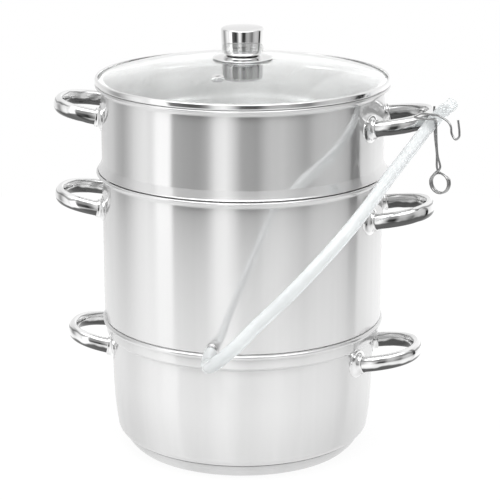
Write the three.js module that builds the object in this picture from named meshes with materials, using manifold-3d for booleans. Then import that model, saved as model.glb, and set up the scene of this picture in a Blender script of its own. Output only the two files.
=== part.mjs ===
// Steam juicer for the hob: a water pot, a juice kettle with a steam funnel, a fruit
// basket with a perforated floor and a glass lid, stacked on one another. Juice leaves
// the kettle by a short spout and a clear hose, which a wire clamp pinches shut.
// Millimetres, +Z up. The origin is on the axis of the pots, in the plane of the base.
// +X points along the kettle's right handle and the spout looks towards -Y.

import * as THREE from 'three';
import { mergeGeometries, mergeVertices } from 'three/addons/utils/BufferGeometryUtils.js';
import Module from 'manifold-3d';

const wasm = await Module();
wasm.setup();

// Sheet and fits
const sheet = 0.8;
const fitGap = 0.3;
const cutOverrun = 2;
const ringSides = 36;
const cutterSides = 2 * ringSides;

// Base of the water pot
const baseFootRadius = 104;
const baseRimRadius = 113.2;
const baseHeight = 12.4;
const baseEdgeRoundShare = 0.55;

// Water pot
const potRadius = 123.5;
const potHeight = 125;
const potCornerRadius = 8.5;
const potHeelRadius = 119.3;
const potBellyHeight = 62;
const potBellyBulge = 1.4;
const potCollarHeight = 18.5;
const potCollarFlareHeight = 6;
const potBeadRadius = 2.4;
const potBeadStartDegrees = -70;
const potBeadEndDegrees = 130;
const baseEdgeSteps = 4;
const potCornerSteps = 3;
const potBellySteps = 3;
const potCollarSteps = 4;
const potBeadSteps = 5;

// Juice kettle and fruit basket
const wallRadius = 130.6;
const footStep = 2.8;
const footPlay = 0.4;
const footCornerRadius = 4;
const kettleHeight = 140.1;
const kettleFootDepth = 7.8;
const kettleShoulderRadius = 1.6;
const basketHeight = 81.1;
const basketFootDepth = 13.4;
const basketShoulderHeight = 8.2;
const basketShoulderRadius = 10;
const stopBeadRadius = 1.6;
const stopBeadHalfDegrees = 60;
const shoulderDegrees = 38;
const bendSteps = 2;
const rimOverhang = 5.3;
const rimBeadRadius = 2.1;
const rimFlareHeight = 7;
const rimFlareBendShare = 0.6;
const rimJoinDegrees = 215;
const rimCurlStartDegrees = 235;
const rimCurlEndDegrees = 505;
const rimFlareSteps = 3;
const rimCurlSteps = 6;

// Steam funnel
const funnelBaseRadius = 41;
const funnelTopRadius = 22;
const funnelHeight = 117;
const funnelFlange = 7;
const funnelSides = 28;
const funnelLipRadius = 1.2;
const funnelLipStartDegrees = -60;
const funnelLipEndDegrees = 200;
const funnelLipSteps = 4;

// Perforated floor of the basket
const holeRadius = 3;
const holeRingPitch = 24.5;
const holeRings = 4;
const holesPerRingStep = 6;
const holeSides = 6;

// Handles, each an oval tube bent to a loop with a bracket on each end
const handleTall = 14.5;
const handleThick = 9;
const handleHalfSpan = 37.8;
const handleSquareness = 2.2;
const handleRise = 7.2;
const handleSteps = 16;
const handleCurveSegments = 5;
const upperHandleReach = 180;
const potHandleReach = 172;
const potHandleDrop = 31;
const kettleHandleDrop = 36;
const basketHandleDrop = 31.1;
const potHandleTurn = -5.1;
const kettleHandleTurn = -2.8;
const basketHandleTurn = -4;
const cupTall = 25;
const cupWide = 27;
const cupLength = 5.6;
const cupEdge = 0.9;
const cupRings = 3;
const cupSides = 10;
const cupFlarePower = 3;
const cupReachPower = 1.5;
const socketWall = 1.2;
const socketDepth = 2.6;

// Lid
const lidBandRadius = 135.9;
const lidBandHeight = 5.7;
const lidLipWidth = 4.4;
const lidSkirtPlay = 1.2;
const lidSkirtDepth = 5;
const glassThick = 3.4;
const glassRise = 17.8;
const glassDomeSteps = 5;
const ventRadius = 3.2;
const ventDistance = 73;
const ventTurn = -9.5;
const grommetFlange = 1.6;
const grommetLip = 0.9;
const grommetSides = 12;

// Knob of the lid
const knobTopRadius = 20;
const knobWaistRadius = 18.8;
const knobFootRadius = 12;
const knobHeight = 23.6;
const knobTopRound = 2.4;
const knobHeelRound = 5.5;
const knobCrown = 0.9;
const capRadius = 27.7;
const capRise = 3.6;
const knobSides = 24;
const knobBendSteps = 3;
const screwRadius = 2.5;
const screwHeadRadius = 5.5;
const screwHeadHeight = 2.2;
const screwGrip = 9;
const washerRadius = 9;
const washerThick = 1.4;
const screwSides = 12;

// Drain spout of the kettle
const spoutTurn = -3.9;
const spoutZ = 5.7;
const spoutDrop = 12;
const spoutRadius = 4;
const spoutBoreRadius = 3;
const spoutLength = 18;
const spoutInset = 1.2;
const spoutCollarRadius = 5.8;
const spoutCollarThick = 2;
const spoutRidgeRadius = 5.2;
const spoutRidgeGap = 1.2;
const spoutSides = 12;

// Drain hose: its route, from the spout to the free end
const hoseRadius = 5.75;
const hoseSides = 8;
const hoseSteps = 40;
const hoseSocketDepth = 9.5;
const hosePinchShare = 0.938;
const hosePinchFlat = 11;
const hosePinchEase = 11;
const hosePinchHalfThick = 1.4;
const hosePinchHalfWide = 8.2;
const hoseRoute = [
  [-9.4, -138.2, 129.3],
  [-10.0, -146.7, 127.5],
  [-8.9, -160.8, 126.4],
  [-5.1, -176.6, 129.3],
  [1.8, -190.4, 136.8],
  [12.5, -200.9, 148.2],
  [25.2, -205.3, 161.1],
  [39.3, -204.8, 176.8],
  [56.2, -204.6, 194.0],
  [73.5, -201.5, 212.0],
  [89.5, -195.0, 229.0],
  [103.5, -185.5, 244.0],
  [115.5, -172.0, 257.0],
  [126.0, -153.0, 268.0],
  [134.5, -131.0, 277.0],
  [142.5, -109.0, 286.0],
  [150.5, -89.5, 294.0],
  [159.5, -70.5, 303.5],
  [169.0, -51.0, 314.0],
  [180.0, -31.5, 324.5],
  [193.0, -14.0, 334.0],
];

// Hose clamp, one bent wire: sizes, and places as shares of its reach
const wireRadius = 1;
const wireSides = 6;
const clampReach = 57.3;
const clampStandOff = 7.2;
const coilRadius = 9.1;
const coilTurns = 1.66;
const coilPitch = 2.9;
const coilStepsPerTurn = 24;
const coilStartDegrees = 30;
const clampJawHalfGap = 2.75;
const clampSplitGap = 0.45;
const clampSteps = 24;
const springSteps = 20;
// Each row is outward, along the hose and up, from the middle of the pinched hose
const springArmShares = [
  [0.068, 0.0, -0.829],
  [0.035, 0.0, -0.775],
  [0.023, 0.0, -0.555],
  [-0.02, 0.0, -0.274],
];
const springTipShare = 0.2;
const leverArmShares = [
  [0.068, 0.0, -0.829],
  [0.148, 0.0, -0.747],
  [0.096, 0.0, -0.555],
  [0.07, 0.0, -0.35],
];
const keeperShares = [
  [0.075, -0.05, 0.035],
  [0.115, -0.19, 0.06],
  [0.02, -0.38, 0.085],
  [-0.02, -0.485, 0.125],
  [0.02, -0.4, 0.165],
  [0.1, -0.2, 0.13],
  [0.12, -0.05, 0.09],
  [0.3, -0.045, 0.02],
  [0.355, -0.045, -0.05],
  [0.375, -0.045, -0.16],
  [0.445, -0.045, -0.24],
  [0.51, -0.045, -0.195],
  [0.515, -0.045, -0.115],
  [0.485, -0.045, 0.07],
];

// Materials
const polished = { color: 0xc9cbcd, roughness: 0.16, metalness: 1 };
const chromed = { color: 0xd4d6d8, roughness: 0.06, metalness: 1 };
const aluminium = { color: 0xb8babc, roughness: 0.4, metalness: 1 };
const clearGlass = { color: 0xe8f0ee, roughness: 0.02, metalness: 0 };
const silicone = { color: 0xf0f2f2, roughness: 0.25, metalness: 0 };
const wireSteel = { color: 0xa9abad, roughness: 0.2, metalness: 1 };

// A closed solid from any geometry whose faces close up
function solid(geometry) {
  const bare = geometry.index ? geometry.toNonIndexed() : geometry.clone();
  bare.deleteAttribute('normal');
  bare.deleteAttribute('uv');
  const merged = mergeVertices(bare, sheet * weldShare);
  const index = merged.index.array;
  const kept = [];
  for (let i = 0; i < index.length; i += 3) {
    const [a, b, c] = [index[i], index[i + 1], index[i + 2]];
    if (a !== b && b !== c && c !== a) kept.push(a, b, c);
  }
  const positions = merged.attributes.position.array;
  const facing = signedVolume(positions, kept) < 0 ? kept.reverse() : kept;
  const mesh = new wasm.Mesh({
    numProp: 3,
    vertProperties: Float32Array.from(positions),
    triVerts: Uint32Array.from(facing),
  });
  return new wasm.Manifold(mesh);
}

// Six times the volume that the triangles enclose, negative when they face inwards
function signedVolume(positions, index) {
  const [a, b, c] = [new THREE.Vector3(), new THREE.Vector3(), new THREE.Vector3()];
  let total = 0;
  for (let i = 0; i < index.length; i += 3) {
    a.fromArray(positions, index[i] * 3);
    b.fromArray(positions, index[i + 1] * 3);
    c.fromArray(positions, index[i + 2] * 3);
    total += a.dot(b.cross(c));
  }
  return total;
}

function toGeometry(manifold) {
  const mesh = manifold.getMesh();
  const geometry = new THREE.BufferGeometry();
  geometry.setAttribute('position', new THREE.BufferAttribute(mesh.vertProperties, 3));
  geometry.setIndex(new THREE.BufferAttribute(mesh.triVerts, 1));
  geometry.computeVertexNormals();
  return geometry;
}

function piece(name, manifold, finish) {
  const mesh = new THREE.Mesh(toGeometry(manifold), new THREE.MeshStandardMaterial(finish));
  mesh.name = name;
  return mesh;
}

const weldShare = 1e-4;
const quarterTurn = Math.PI / 2;
const halfTurn = Math.PI;
const fullTurn = Math.PI * 2;
const radians = THREE.MathUtils.degToRad;

// A profile of [radius, height] points turned round the Z axis
function revolve(profile, sides = ringSides) {
  const points = profile.map(([r, z]) => new THREE.Vector2(r, z));
  points.push(points[0].clone());
  const lathe = new THREE.LatheGeometry(points, sides);
  lathe.rotateX(quarterTurn);
  return solid(lathe);
}

// Points of an arc in a profile, angles in degrees
function arc(centreR, centreZ, radius, from, to, steps) {
  const points = [];
  for (let i = 0; i <= steps; i += 1) {
    const angle = radians(from + ((to - from) * i) / steps);
    points.push([centreR + radius * Math.cos(angle), centreZ + radius * Math.sin(angle)]);
  }
  return points;
}

// Points of a quadratic or cubic curve in a profile
function bend(corners, steps) {
  const vectors = corners.map(([r, z]) => new THREE.Vector2(r, z));
  const curve = corners.length === 3
    ? new THREE.QuadraticBezierCurve(...vectors)
    : new THREE.CubicBezierCurve(...vectors);
  return curve.getPoints(steps).map((point) => [point.x, point.y]);
}

// The same line set inwards by a distance, to the left of its direction
function inset(line, distance) {
  return line.map((point, i) => {
    const before = line[Math.max(i - 1, 0)];
    const after = line[Math.min(i + 1, line.length - 1)];
    const first = direction(before, point) ?? direction(point, after);
    const second = direction(point, after) ?? first;
    const middle = new THREE.Vector2().addVectors(first, second).normalize();
    const stretch = distance / Math.max(middle.dot(first), insetSharpestShare);
    return [point[0] - middle.y * stretch, point[1] + middle.x * stretch];
  });
}

const insetSharpestShare = 0.5;

function direction(from, to) {
  const step = new THREE.Vector2(to[0] - from[0], to[1] - from[1]);
  return step.length() > 0 ? step.normalize() : null;
}

// A sheet-metal wall: the outer line, the rolled edge and the inner line back again
function shellWith(outerLine, edge, thickness = sheet) {
  return [...outerLine, ...edge, ...inset(outerLine, thickness).reverse()];
}

// Rim of kettle and basket: the wall flares out to a rolled bead
function flaredRim(topZ) {
  const beadR = wallRadius + rimOverhang - rimBeadRadius;
  const beadZ = topZ - rimBeadRadius;
  const flareFoot = [wallRadius, topZ - rimFlareHeight];
  const flareTop = arc(beadR, beadZ, rimBeadRadius, rimJoinDegrees, rimJoinDegrees, 1)[0];
  const flareBend = [wallRadius, topZ - rimFlareHeight * rimFlareBendShare];
  const flare = bend([flareFoot, flareBend, flareTop], rimFlareSteps);
  const bead = arc(beadR, beadZ, rimBeadRadius, rimCurlStartDegrees, rimCurlEndDegrees, rimCurlSteps);
  return { flare: flare.slice(0, -1), bead };
}

// Water pot
// Outer line of the water pot, from the middle of its floor to the top of the collar
function potOuterLine() {
  const floorZ = baseHeight + fitGap;
  const cornerR = potHeelRadius - potCornerRadius;
  const heelZ = floorZ + potCornerRadius;
  const bellyTop = [potRadius, floorZ + potBellyHeight];
  const bellyMiddle = [
    (potHeelRadius + potRadius) / 2 + potBellyBulge,
    heelZ + potBellyHeight / 3,
  ];
  const collarR = wallRadius - footStep + footPlay + sheet;
  const flareZ = potHeight - potCollarHeight;
  const collarZ = flareZ + potCollarFlareHeight;
  const flareMiddleZ = (flareZ + collarZ) / 2;
  const collarBend = [
    [potRadius, flareZ],
    [potRadius, flareMiddleZ],
    [collarR, flareMiddleZ],
    [collarR, collarZ],
  ];
  return [
    [0, floorZ],
    ...arc(cornerR, heelZ, potCornerRadius, -90, 0, potCornerSteps),
    ...bend([[potHeelRadius, heelZ], bellyMiddle, bellyTop], potBellySteps).slice(1),
    ...bend(collarBend, potCollarSteps),
    [collarR, potHeight - 2 * potBeadRadius],
  ];
}

function potBodyProfile() {
  const outer = potOuterLine();
  const [collarR] = outer[outer.length - 1];
  const beadR = collarR - sheet / 2 + potBeadRadius / 2;
  const beadZ = potHeight - potBeadRadius;
  const bead = arc(beadR, beadZ, potBeadRadius, potBeadStartDegrees, potBeadEndDegrees, potBeadSteps);
  return shellWith(outer, bead);
}

function baseOuterLine() {
  const middleR = (baseFootRadius + baseRimRadius) / 2;
  const edgeR = middleR + (baseRimRadius - middleR) * baseEdgeRoundShare;
  const edge = [edgeR, baseHeight * (1 - baseEdgeRoundShare)];
  return [[0, 0], ...bend([[baseFootRadius, 0], edge, [baseRimRadius, baseHeight]], baseEdgeSteps)];
}

function waterPot() {
  const group = new THREE.Group();
  group.add(piece('water_pot_body', revolve(potBodyProfile()), polished));
  const line = baseOuterLine();
  group.add(piece('base_capsule', revolve(shellWith(line, [])), polished));
  const coreLine = inset(line, sheet + fitGap);
  coreLine[0] = [0, coreLine[0][1]];
  const coreTop = baseHeight - fitGap;
  const coreProfile = coreLine.filter(([, z]) => z < coreTop);
  const lastR = coreProfile[coreProfile.length - 1][0];
  group.add(piece('base_core', revolve([...coreProfile, [lastR, coreTop], [0, coreTop]]), aluminium));
  addHandles(group, 'pot', {
    radius: potRadius,
    reach: potHandleReach,
    rootZ: potHeight - potHandleDrop,
    turn: potHandleTurn,
    wallLine: clearOf(potOuterLine()),
  });
  return group;
}

// Juice kettle
function kettleBodyProfile() {
  const footR = wallRadius - footStep;
  const floorZ = -kettleFootDepth;
  const flangeHole = funnelBaseRadius + sheet;
  const { flare, bead } = flaredRim(kettleHeight);
  const outer = [
    [flangeHole, floorZ],
    ...arc(footR - footCornerRadius, floorZ + footCornerRadius, footCornerRadius, -90, 0, bendSteps),
    [footR, 0],
    ...arc(wallRadius - kettleShoulderRadius, kettleShoulderRadius, kettleShoulderRadius, -90, 0, bendSteps),
    ...flare,
  ];
  return shellWith(outer, bead);
}

function funnelProfile() {
  const floorTop = -kettleFootDepth + sheet + fitGap;
  const outer = [
    [funnelBaseRadius + funnelFlange, floorTop + sheet],
    [funnelBaseRadius + sheet, floorTop + sheet],
    [funnelTopRadius, floorTop + funnelHeight],
  ];
  const lipZ = floorTop + funnelHeight + funnelLipRadius;
  const lip = arc(
    funnelTopRadius, lipZ, funnelLipRadius, funnelLipStartDegrees, funnelLipEndDegrees, funnelLipSteps,
  );
  const inner = [
    [funnelTopRadius - sheet, floorTop + funnelHeight],
    [funnelBaseRadius, floorTop],
    [funnelBaseRadius + funnelFlange, floorTop],
  ];
  return [...outer, ...lip, ...inner];
}

// The spout's axis: out of the kettle's wall, dropping as it goes
function placeOnSpout(geometry) {
  geometry.rotateX(quarterTurn + radians(spoutDrop));
  geometry.translate(0, -wallRadius, spoutZ);
  geometry.rotateZ(radians(spoutTurn));
  return geometry;
}

function spoutCylinder(radius, from, to) {
  const length = to - from;
  const cylinder = new THREE.CylinderGeometry(radius, radius, length, spoutSides);
  cylinder.rotateX(quarterTurn);
  cylinder.translate(0, 0, from + length / 2);
  return solid(placeOnSpout(cylinder));
}

function drainSpout() {
  const inner = -spoutInset - sheet;
  const collarFrom = 2 * fitGap + spoutCollarRadius * Math.tan(radians(spoutDrop));
  const collarTo = collarFrom + spoutCollarThick;
  const ridgeFrom = collarTo + spoutRidgeGap;
  return spoutCylinder(spoutRadius, inner, spoutLength)
    .add(spoutCylinder(spoutCollarRadius, collarFrom, collarTo))
    .add(spoutCylinder(spoutRidgeRadius, ridgeFrom, ridgeFrom + spoutCollarThick / 2))
    .subtract(spoutCylinder(spoutBoreRadius, inner - cutOverrun, spoutLength + cutOverrun));
}

function juiceKettle() {
  const group = new THREE.Group();
  const drainHole = spoutCylinder(spoutRadius + fitGap, -sheet - cutOverrun, cutOverrun);
  const body = revolve(kettleBodyProfile()).subtract(drainHole);
  group.add(piece('juice_kettle_body', body, polished));
  group.add(piece('steam_funnel', revolve(funnelProfile(), funnelSides), polished));
  group.add(piece('drain_spout', drainSpout(), polished));
  addHandles(group, 'kettle', {
    radius: wallRadius,
    reach: upperHandleReach,
    rootZ: kettleHeight - kettleHandleDrop,
    turn: kettleHandleTurn,
    wallLine: clearOf([[wallRadius, kettleShoulderRadius], [wallRadius, kettleHeight - rimFlareHeight]]),
  });
  return group;
}

// Fruit basket
function basketBodyProfile() {
  const footR = wallRadius - footStep;
  const floorZ = -basketFootDepth;
  const stopR = wallRadius + fitGap - stopBeadRadius;
  const stopZ = -2 * fitGap - stopBeadRadius;
  const shoulderR = wallRadius - basketShoulderRadius;
  const { flare, bead } = flaredRim(basketHeight);
  const outer = [
    [0, floorZ],
    ...arc(footR - footCornerRadius, floorZ + footCornerRadius, footCornerRadius, -90, 0, bendSteps),
    [footR, stopZ - stopBeadRadius],
    ...arc(stopR, stopZ, stopBeadRadius, -stopBeadHalfDegrees, stopBeadHalfDegrees, bendSteps),
    ...arc(shoulderR, basketShoulderHeight, basketShoulderRadius, -shoulderDegrees, 0, bendSteps),
    ...flare,
  ];
  return shellWith(outer, bead);
}

// One cutter for every hole of the floor, on rings round the centre
function floorHoles() {
  const height = sheet + 2 * cutOverrun;
  const holes = [];
  for (let ring = 0; ring <= holeRings; ring += 1) {
    const count = Math.max(ring * holesPerRingStep, 1);
    for (let i = 0; i < count; i += 1) {
      const angle = (fullTurn * i) / count;
      const hole = new THREE.CylinderGeometry(holeRadius, holeRadius, height, holeSides);
      hole.rotateX(quarterTurn);
      hole.translate(
        ring * holeRingPitch * Math.cos(angle),
        ring * holeRingPitch * Math.sin(angle),
        -basketFootDepth + sheet / 2,
      );
      holes.push(hole);
    }
  }
  return solid(mergeGeometries(holes));
}

function fruitBasket() {
  const group = new THREE.Group();
  const body = revolve(basketBodyProfile()).subtract(floorHoles());
  group.add(piece('fruit_basket_body', body, polished));
  addHandles(group, 'basket', {
    radius: wallRadius,
    reach: upperHandleReach,
    rootZ: basketHeight - basketHandleDrop,
    turn: basketHandleTurn,
    wallLine: clearOf([[wallRadius, basketShoulderHeight], [wallRadius, basketHeight - rimFlareHeight]]),
  });
  return group;
}

// Handles. Everything is built for a handle along +X and then turned to its side.
function leanOf({ radius, reach }) {
  return Math.asin(handleRise / (reach - radius));
}

function leaningAtRoot(geometry, seat) {
  geometry.translate(-seat.radius, 0, 0);
  geometry.rotateY(-leanOf(seat));
  geometry.translate(seat.radius, 0, seat.rootZ);
  return geometry;
}

function wallDepthAt(radius, across) {
  return Math.sqrt(radius * radius - across * across);
}

function handleLoop(seat) {
  const { radius, reach } = seat;
  const neck = wallDepthAt(radius, handleHalfSpan) + cupLength;
  const root = neck - socketDepth + fitGap;
  const depth = reach - handleThick / 2 - neck;
  const points = [new THREE.Vector3(root, -handleHalfSpan, 0)];
  for (let i = 0; i <= handleSteps; i += 1) {
    const angle = -quarterTurn + (halfTurn * i) / handleSteps;
    const out = Math.max(Math.cos(angle), 0) ** (2 / handleSquareness);
    const along = Math.abs(Math.sin(angle)) ** (2 / handleSquareness) * Math.sign(Math.sin(angle));
    points.push(new THREE.Vector3(neck + depth * out, handleHalfSpan * along, 0));
  }
  points.push(new THREE.Vector3(root, handleHalfSpan, 0));
  const path = new THREE.CatmullRomCurve3(points);
  const section = new THREE.Shape();
  section.absellipse(0, 0, handleTall / 2, handleThick / 2, 0, fullTurn);
  const loop = new THREE.ExtrudeGeometry(section, {
    steps: handleSteps,
    curveSegments: handleCurveSegments,
    extrudePath: path,
  });
  return solid(leaningAtRoot(loop, seat));
}

// A flared oval cup: its foot hugs the wall and its neck leans with the handle that it holds
function handleMount(seat, side) {
  const { radius, rootZ, wallLine } = seat;
  const across = side * handleHalfSpan;
  const neckOut = wallDepthAt(radius, handleHalfSpan) + cupLength;
  const neckTall = handleTall / 2 + fitGap + socketWall;
  const neckWide = handleThick / 2 + fitGap + socketWall;
  const profile = [new THREE.Vector2(0, -1)];
  for (let ring = -1; ring <= cupRings; ring += 1) profile.push(new THREE.Vector2(1, ring));
  profile.push(new THREE.Vector2(0, cupRings));
  const cup = new THREE.LatheGeometry(profile, cupSides);
  const position = cup.attributes.position;
  for (let i = 0; i < position.count; i += 1) {
    const buried = position.getY(i) < 0;
    const along = Math.max(position.getY(i), 0) / cupRings;
    const flare = (1 - along) ** cupFlarePower;
    const wide = THREE.MathUtils.lerp(neckWide, cupWide / 2, flare);
    const tall = THREE.MathUtils.lerp(neckTall, cupTall / 2, flare);
    const sideways = across + position.getX(i) * wide;
    const stand = buried ? -cutOverrun : THREE.MathUtils.lerp(cupEdge, cupLength, along ** cupReachPower);
    const out = wallDepthAt(radius, sideways) + stand - radius;
    const up = position.getZ(i) * tall;
    const lean = leanOf(seat) * along;
    const leanedOut = radius + out * Math.cos(lean) - up * Math.sin(lean);
    position.setXYZ(i, leanedOut, sideways, rootZ + out * Math.sin(lean) + up * Math.cos(lean));
  }
  const bore = new THREE.CylinderGeometry(1, 1, socketDepth + cutOverrun, cupSides);
  bore.rotateZ(quarterTurn);
  bore.scale(1, handleThick / 2 + fitGap, handleTall / 2 + fitGap);
  bore.translate(neckOut + (cutOverrun - socketDepth) / 2, across, 0);
  const hollow = solid(leaningAtRoot(bore, seat));
  return solid(cup).subtract(hollow).subtract(revolve(wallLine, cutterSides));
}

// What a mount is cut by: the wall's outer line, set outwards by the gap, closed to the axis
function clearOf(outerLine) {
  const clear = inset(outerLine, -fitGap);
  return [[0, clear[0][1]], ...clear, [0, clear[clear.length - 1][1]]];
}

function addHandles(group, name, seat) {
  const loop = handleLoop(seat);
  const mounts = { rear: handleMount(seat, 1), front: handleMount(seat, -1) };
  for (const [side, angle] of [['right', 0], ['left', halfTurn]]) {
    const handle = new THREE.Group();
    handle.rotation.z = radians(seat.turn) + angle;
    handle.add(piece(`${name}_handle_${side}`, loop, chromed));
    for (const [place, mount] of Object.entries(mounts)) {
      handle.add(piece(`${name}_handle_${side}_mount_${place}`, mount, chromed));
    }
    group.add(handle);
  }
}

// Lid, with its origin in the plane of the basket's rim
const glassEdgeRadius = lidBandRadius - sheet - fitGap;
const glassEdgeZ = sheet + fitGap;
const glassFlatRadius = lidBandRadius - lidLipWidth - fitGap;

// Radius of the sphere that the glass dome's upper face lies on
function domeSphere() {
  return (glassFlatRadius ** 2 + glassRise ** 2) / (2 * glassRise);
}

// Height of the glass dome's upper face at a distance from the axis
function domeZ(distance) {
  const sphere = domeSphere();
  const apex = glassEdgeZ + glassThick + glassRise;
  return apex - sphere + Math.sqrt(sphere ** 2 - distance ** 2);
}

function glassProfile() {
  const hole = screwRadius + fitGap;
  const upper = [];
  for (let i = 0; i <= glassDomeSteps; i += 1) {
    const distance = glassFlatRadius + ((hole - glassFlatRadius) * i) / glassDomeSteps;
    upper.push([distance, domeZ(distance)]);
  }
  const lower = upper.map(([r, z]) => [r, z - glassThick]).reverse();
  return [...lower, [glassEdgeRadius, glassEdgeZ], [glassEdgeRadius, glassEdgeZ + glassThick], ...upper];
}

function bandProfile() {
  const skirtOuter = wallRadius - sheet - lidSkirtPlay;
  const skirtInner = skirtOuter - sheet;
  const inner = lidBandRadius - lidLipWidth;
  const lipZ = glassEdgeZ + glassThick + fitGap;
  const round = sheet;
  return [
    [skirtInner, -lidSkirtDepth],
    [skirtOuter, -lidSkirtDepth],
    [skirtOuter, 0],
    [lidBandRadius - round, 0],
    [lidBandRadius, round],
    [lidBandRadius, lidBandHeight - round],
    [lidBandRadius - round, lidBandHeight],
    [inner, lidBandHeight],
    [inner, lipZ],
    [glassEdgeRadius + fitGap, lipZ],
    [glassEdgeRadius + fitGap, sheet],
    [skirtInner, sheet],
  ];
}

function lidKnobProfile() {
  const waistZ = knobHeelRound;
  const topZ = knobHeight - knobCrown;
  const heel = [[knobFootRadius, 0], [knobWaistRadius - sheet, 0], [knobWaistRadius, waistZ]];
  return [
    [0, 0],
    ...bend(heel, knobBendSteps),
    [knobTopRadius, topZ - knobTopRound],
    [knobTopRadius - knobTopRound, topZ],
    [0, knobHeight],
  ];
}

function knobCapProfile() {
  const footZ = domeZ(capRadius) + fitGap;
  const topZ = domeZ(0) + fitGap + capRise;
  const hole = screwRadius + fitGap;
  const slope = [
    [capRadius, footZ + sheet],
    [2 * knobFootRadius, topZ - capRise / 3],
    [knobFootRadius, topZ],
  ];
  return [
    [hole, domeZ(hole) + fitGap],
    [capRadius, footZ],
    ...bend(slope, knobBendSteps),
    [hole, topZ],
  ];
}

// A seat square to the glass at the vent, half-way through its thickness
function ventSeat() {
  const turned = new THREE.Group();
  turned.rotation.z = -quarterTurn + radians(ventTurn);
  const seat = new THREE.Group();
  seat.position.set(ventDistance, 0, domeZ(ventDistance) - glassThick / 2);
  seat.rotation.y = Math.asin(ventDistance / domeSphere());
  turned.add(seat);
  seat.updateWorldMatrix(true, false);
  return { turned, seat };
}

function grommetProfile() {
  const outer = ventRadius - fitGap;
  const bore = outer - grommetLip;
  const flange = ventRadius + grommetFlange;
  const foot = glassThick / 2 + fitGap;
  const face = foot + grommetLip;
  return [
    [bore, -face],
    [flange, -face],
    [flange, -foot],
    [outer, -foot],
    [outer, foot],
    [flange, foot],
    [flange, face],
    [bore, face],
  ];
}

function lid() {
  const group = new THREE.Group();
  const vent = ventSeat();
  group.add(vent.turned);
  const cutLength = glassThick + 2 * cutOverrun;
  const ventCut = new THREE.CylinderGeometry(ventRadius, ventRadius, cutLength, grommetSides);
  ventCut.rotateX(quarterTurn);
  ventCut.applyMatrix4(vent.seat.matrixWorld);
  group.add(piece('lid_glass', revolve(glassProfile()).subtract(solid(ventCut)), clearGlass));
  group.add(piece('lid_band', revolve(bandProfile()), polished));
  vent.seat.add(piece('vent_grommet', revolve(grommetProfile(), grommetSides), polished));

  const knobZ = domeZ(0) + 2 * fitGap + capRise;
  const screwHole = new THREE.CylinderGeometry(
    screwRadius + fitGap, screwRadius + fitGap, screwGrip * 2, screwSides,
  );
  screwHole.rotateX(quarterTurn);
  const knob = revolve(lidKnobProfile(), knobSides).subtract(solid(screwHole));
  const knobMesh = piece('lid_knob', knob, chromed);
  knobMesh.position.z = knobZ;
  group.add(knobMesh);
  group.add(piece('knob_escutcheon', revolve(knobCapProfile(), knobSides), chromed));

  const washerTop = domeZ(washerRadius) - glassThick - fitGap;
  const washerFoot = washerTop - washerThick;
  const hole = screwRadius + fitGap;
  group.add(piece('knob_washer', revolve([
    [hole, washerFoot],
    [washerRadius, washerFoot],
    [washerRadius, washerTop],
    [hole, washerTop],
  ], screwSides), silicone));
  const headTop = washerFoot - fitGap;
  const screwTop = knobZ + screwGrip - fitGap;
  group.add(piece('knob_screw', revolve([
    [0, headTop - screwHeadHeight],
    [screwHeadRadius - screwHeadHeight / 2, headTop - screwHeadHeight],
    [screwHeadRadius, headTop - screwHeadHeight / 2],
    [screwHeadRadius, headTop],
    [screwRadius, headTop],
    [screwRadius, screwTop],
    [0, screwTop],
  ], screwSides), polished));
  return group;
}

// Drain hose
const hoseCurve = new THREE.CatmullRomCurve3(hoseRoute.map((point) => new THREE.Vector3(...point)));

function pinchFrame() {
  const at = hoseCurve.getPointAt(hosePinchShare);
  const tangent = hoseCurve.getTangentAt(hosePinchShare);
  const along = new THREE.Vector3(tangent.x, tangent.y, 0).normalize();
  const outward = new THREE.Vector3(along.y, -along.x, 0);
  const rise = new THREE.Vector3().crossVectors(outward, tangent).normalize();
  return { at, tangent, along, outward, rise };
}

function drainHose(spoutMatrix) {
  const section = new THREE.Shape();
  section.absarc(0, 0, hoseRadius, 0, fullTurn);
  const tube = new THREE.ExtrudeGeometry(section, {
    steps: hoseSteps,
    curveSegments: hoseSides / 2,
    extrudePath: hoseCurve,
  });
  squeeze(tube);
  const socket = new THREE.CylinderGeometry(
    spoutRadius + fitGap, spoutRadius + fitGap, hoseSocketDepth * 2, spoutSides,
  );
  socket.rotateX(quarterTurn);
  socket.translate(0, 0, spoutLength + fitGap - hoseSocketDepth);
  placeOnSpout(socket);
  socket.applyMatrix4(spoutMatrix);
  return solid(tube).subtract(solid(socket));
}

// The clamp flattens the hose: thinner between its wires and wider across them
function squeeze(geometry) {
  const { at, tangent, outward, rise } = pinchFrame();
  const position = geometry.attributes.position;
  const vertex = new THREE.Vector3();
  for (let i = 0; i < position.count; i += 1) {
    vertex.fromBufferAttribute(position, i).sub(at);
    const pastFlat = Math.max(Math.abs(vertex.dot(tangent)) - hosePinchFlat, 0) / hosePinchEase;
    if (vertex.length() < (hosePinchFlat + hosePinchEase) * 2 && pastFlat < 1) {
      const amount = (1 + Math.cos(halfTurn * pastFlat)) / 2;
      const thin = THREE.MathUtils.lerp(1, hosePinchHalfThick / hoseRadius, amount);
      const wide = THREE.MathUtils.lerp(1, hosePinchHalfWide / hoseRadius, amount);
      vertex.addScaledVector(outward, vertex.dot(outward) * (thin - 1));
      vertex.addScaledVector(rise, vertex.dot(rise) * (wide - 1));
    }
    vertex.add(at);
    position.setXYZ(i, vertex.x, vertex.y, vertex.z);
  }
}

// Hose clamp. Its frame: X outward from the hose, Y along it, Z up, from the pinch.
const coilCentre = new THREE.Vector3(clampStandOff, 0, -clampReach);
const coilHalfWidth = (coilTurns * coilPitch) / 2;

function coilPoint(turns) {
  const angle = radians(coilStartDegrees) - fullTurn * turns;
  const side = coilHalfWidth - turns * coilPitch;
  return new THREE.Vector3(
    coilCentre.x + coilRadius * Math.cos(angle), side, coilCentre.z + coilRadius * Math.sin(angle),
  );
}

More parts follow.
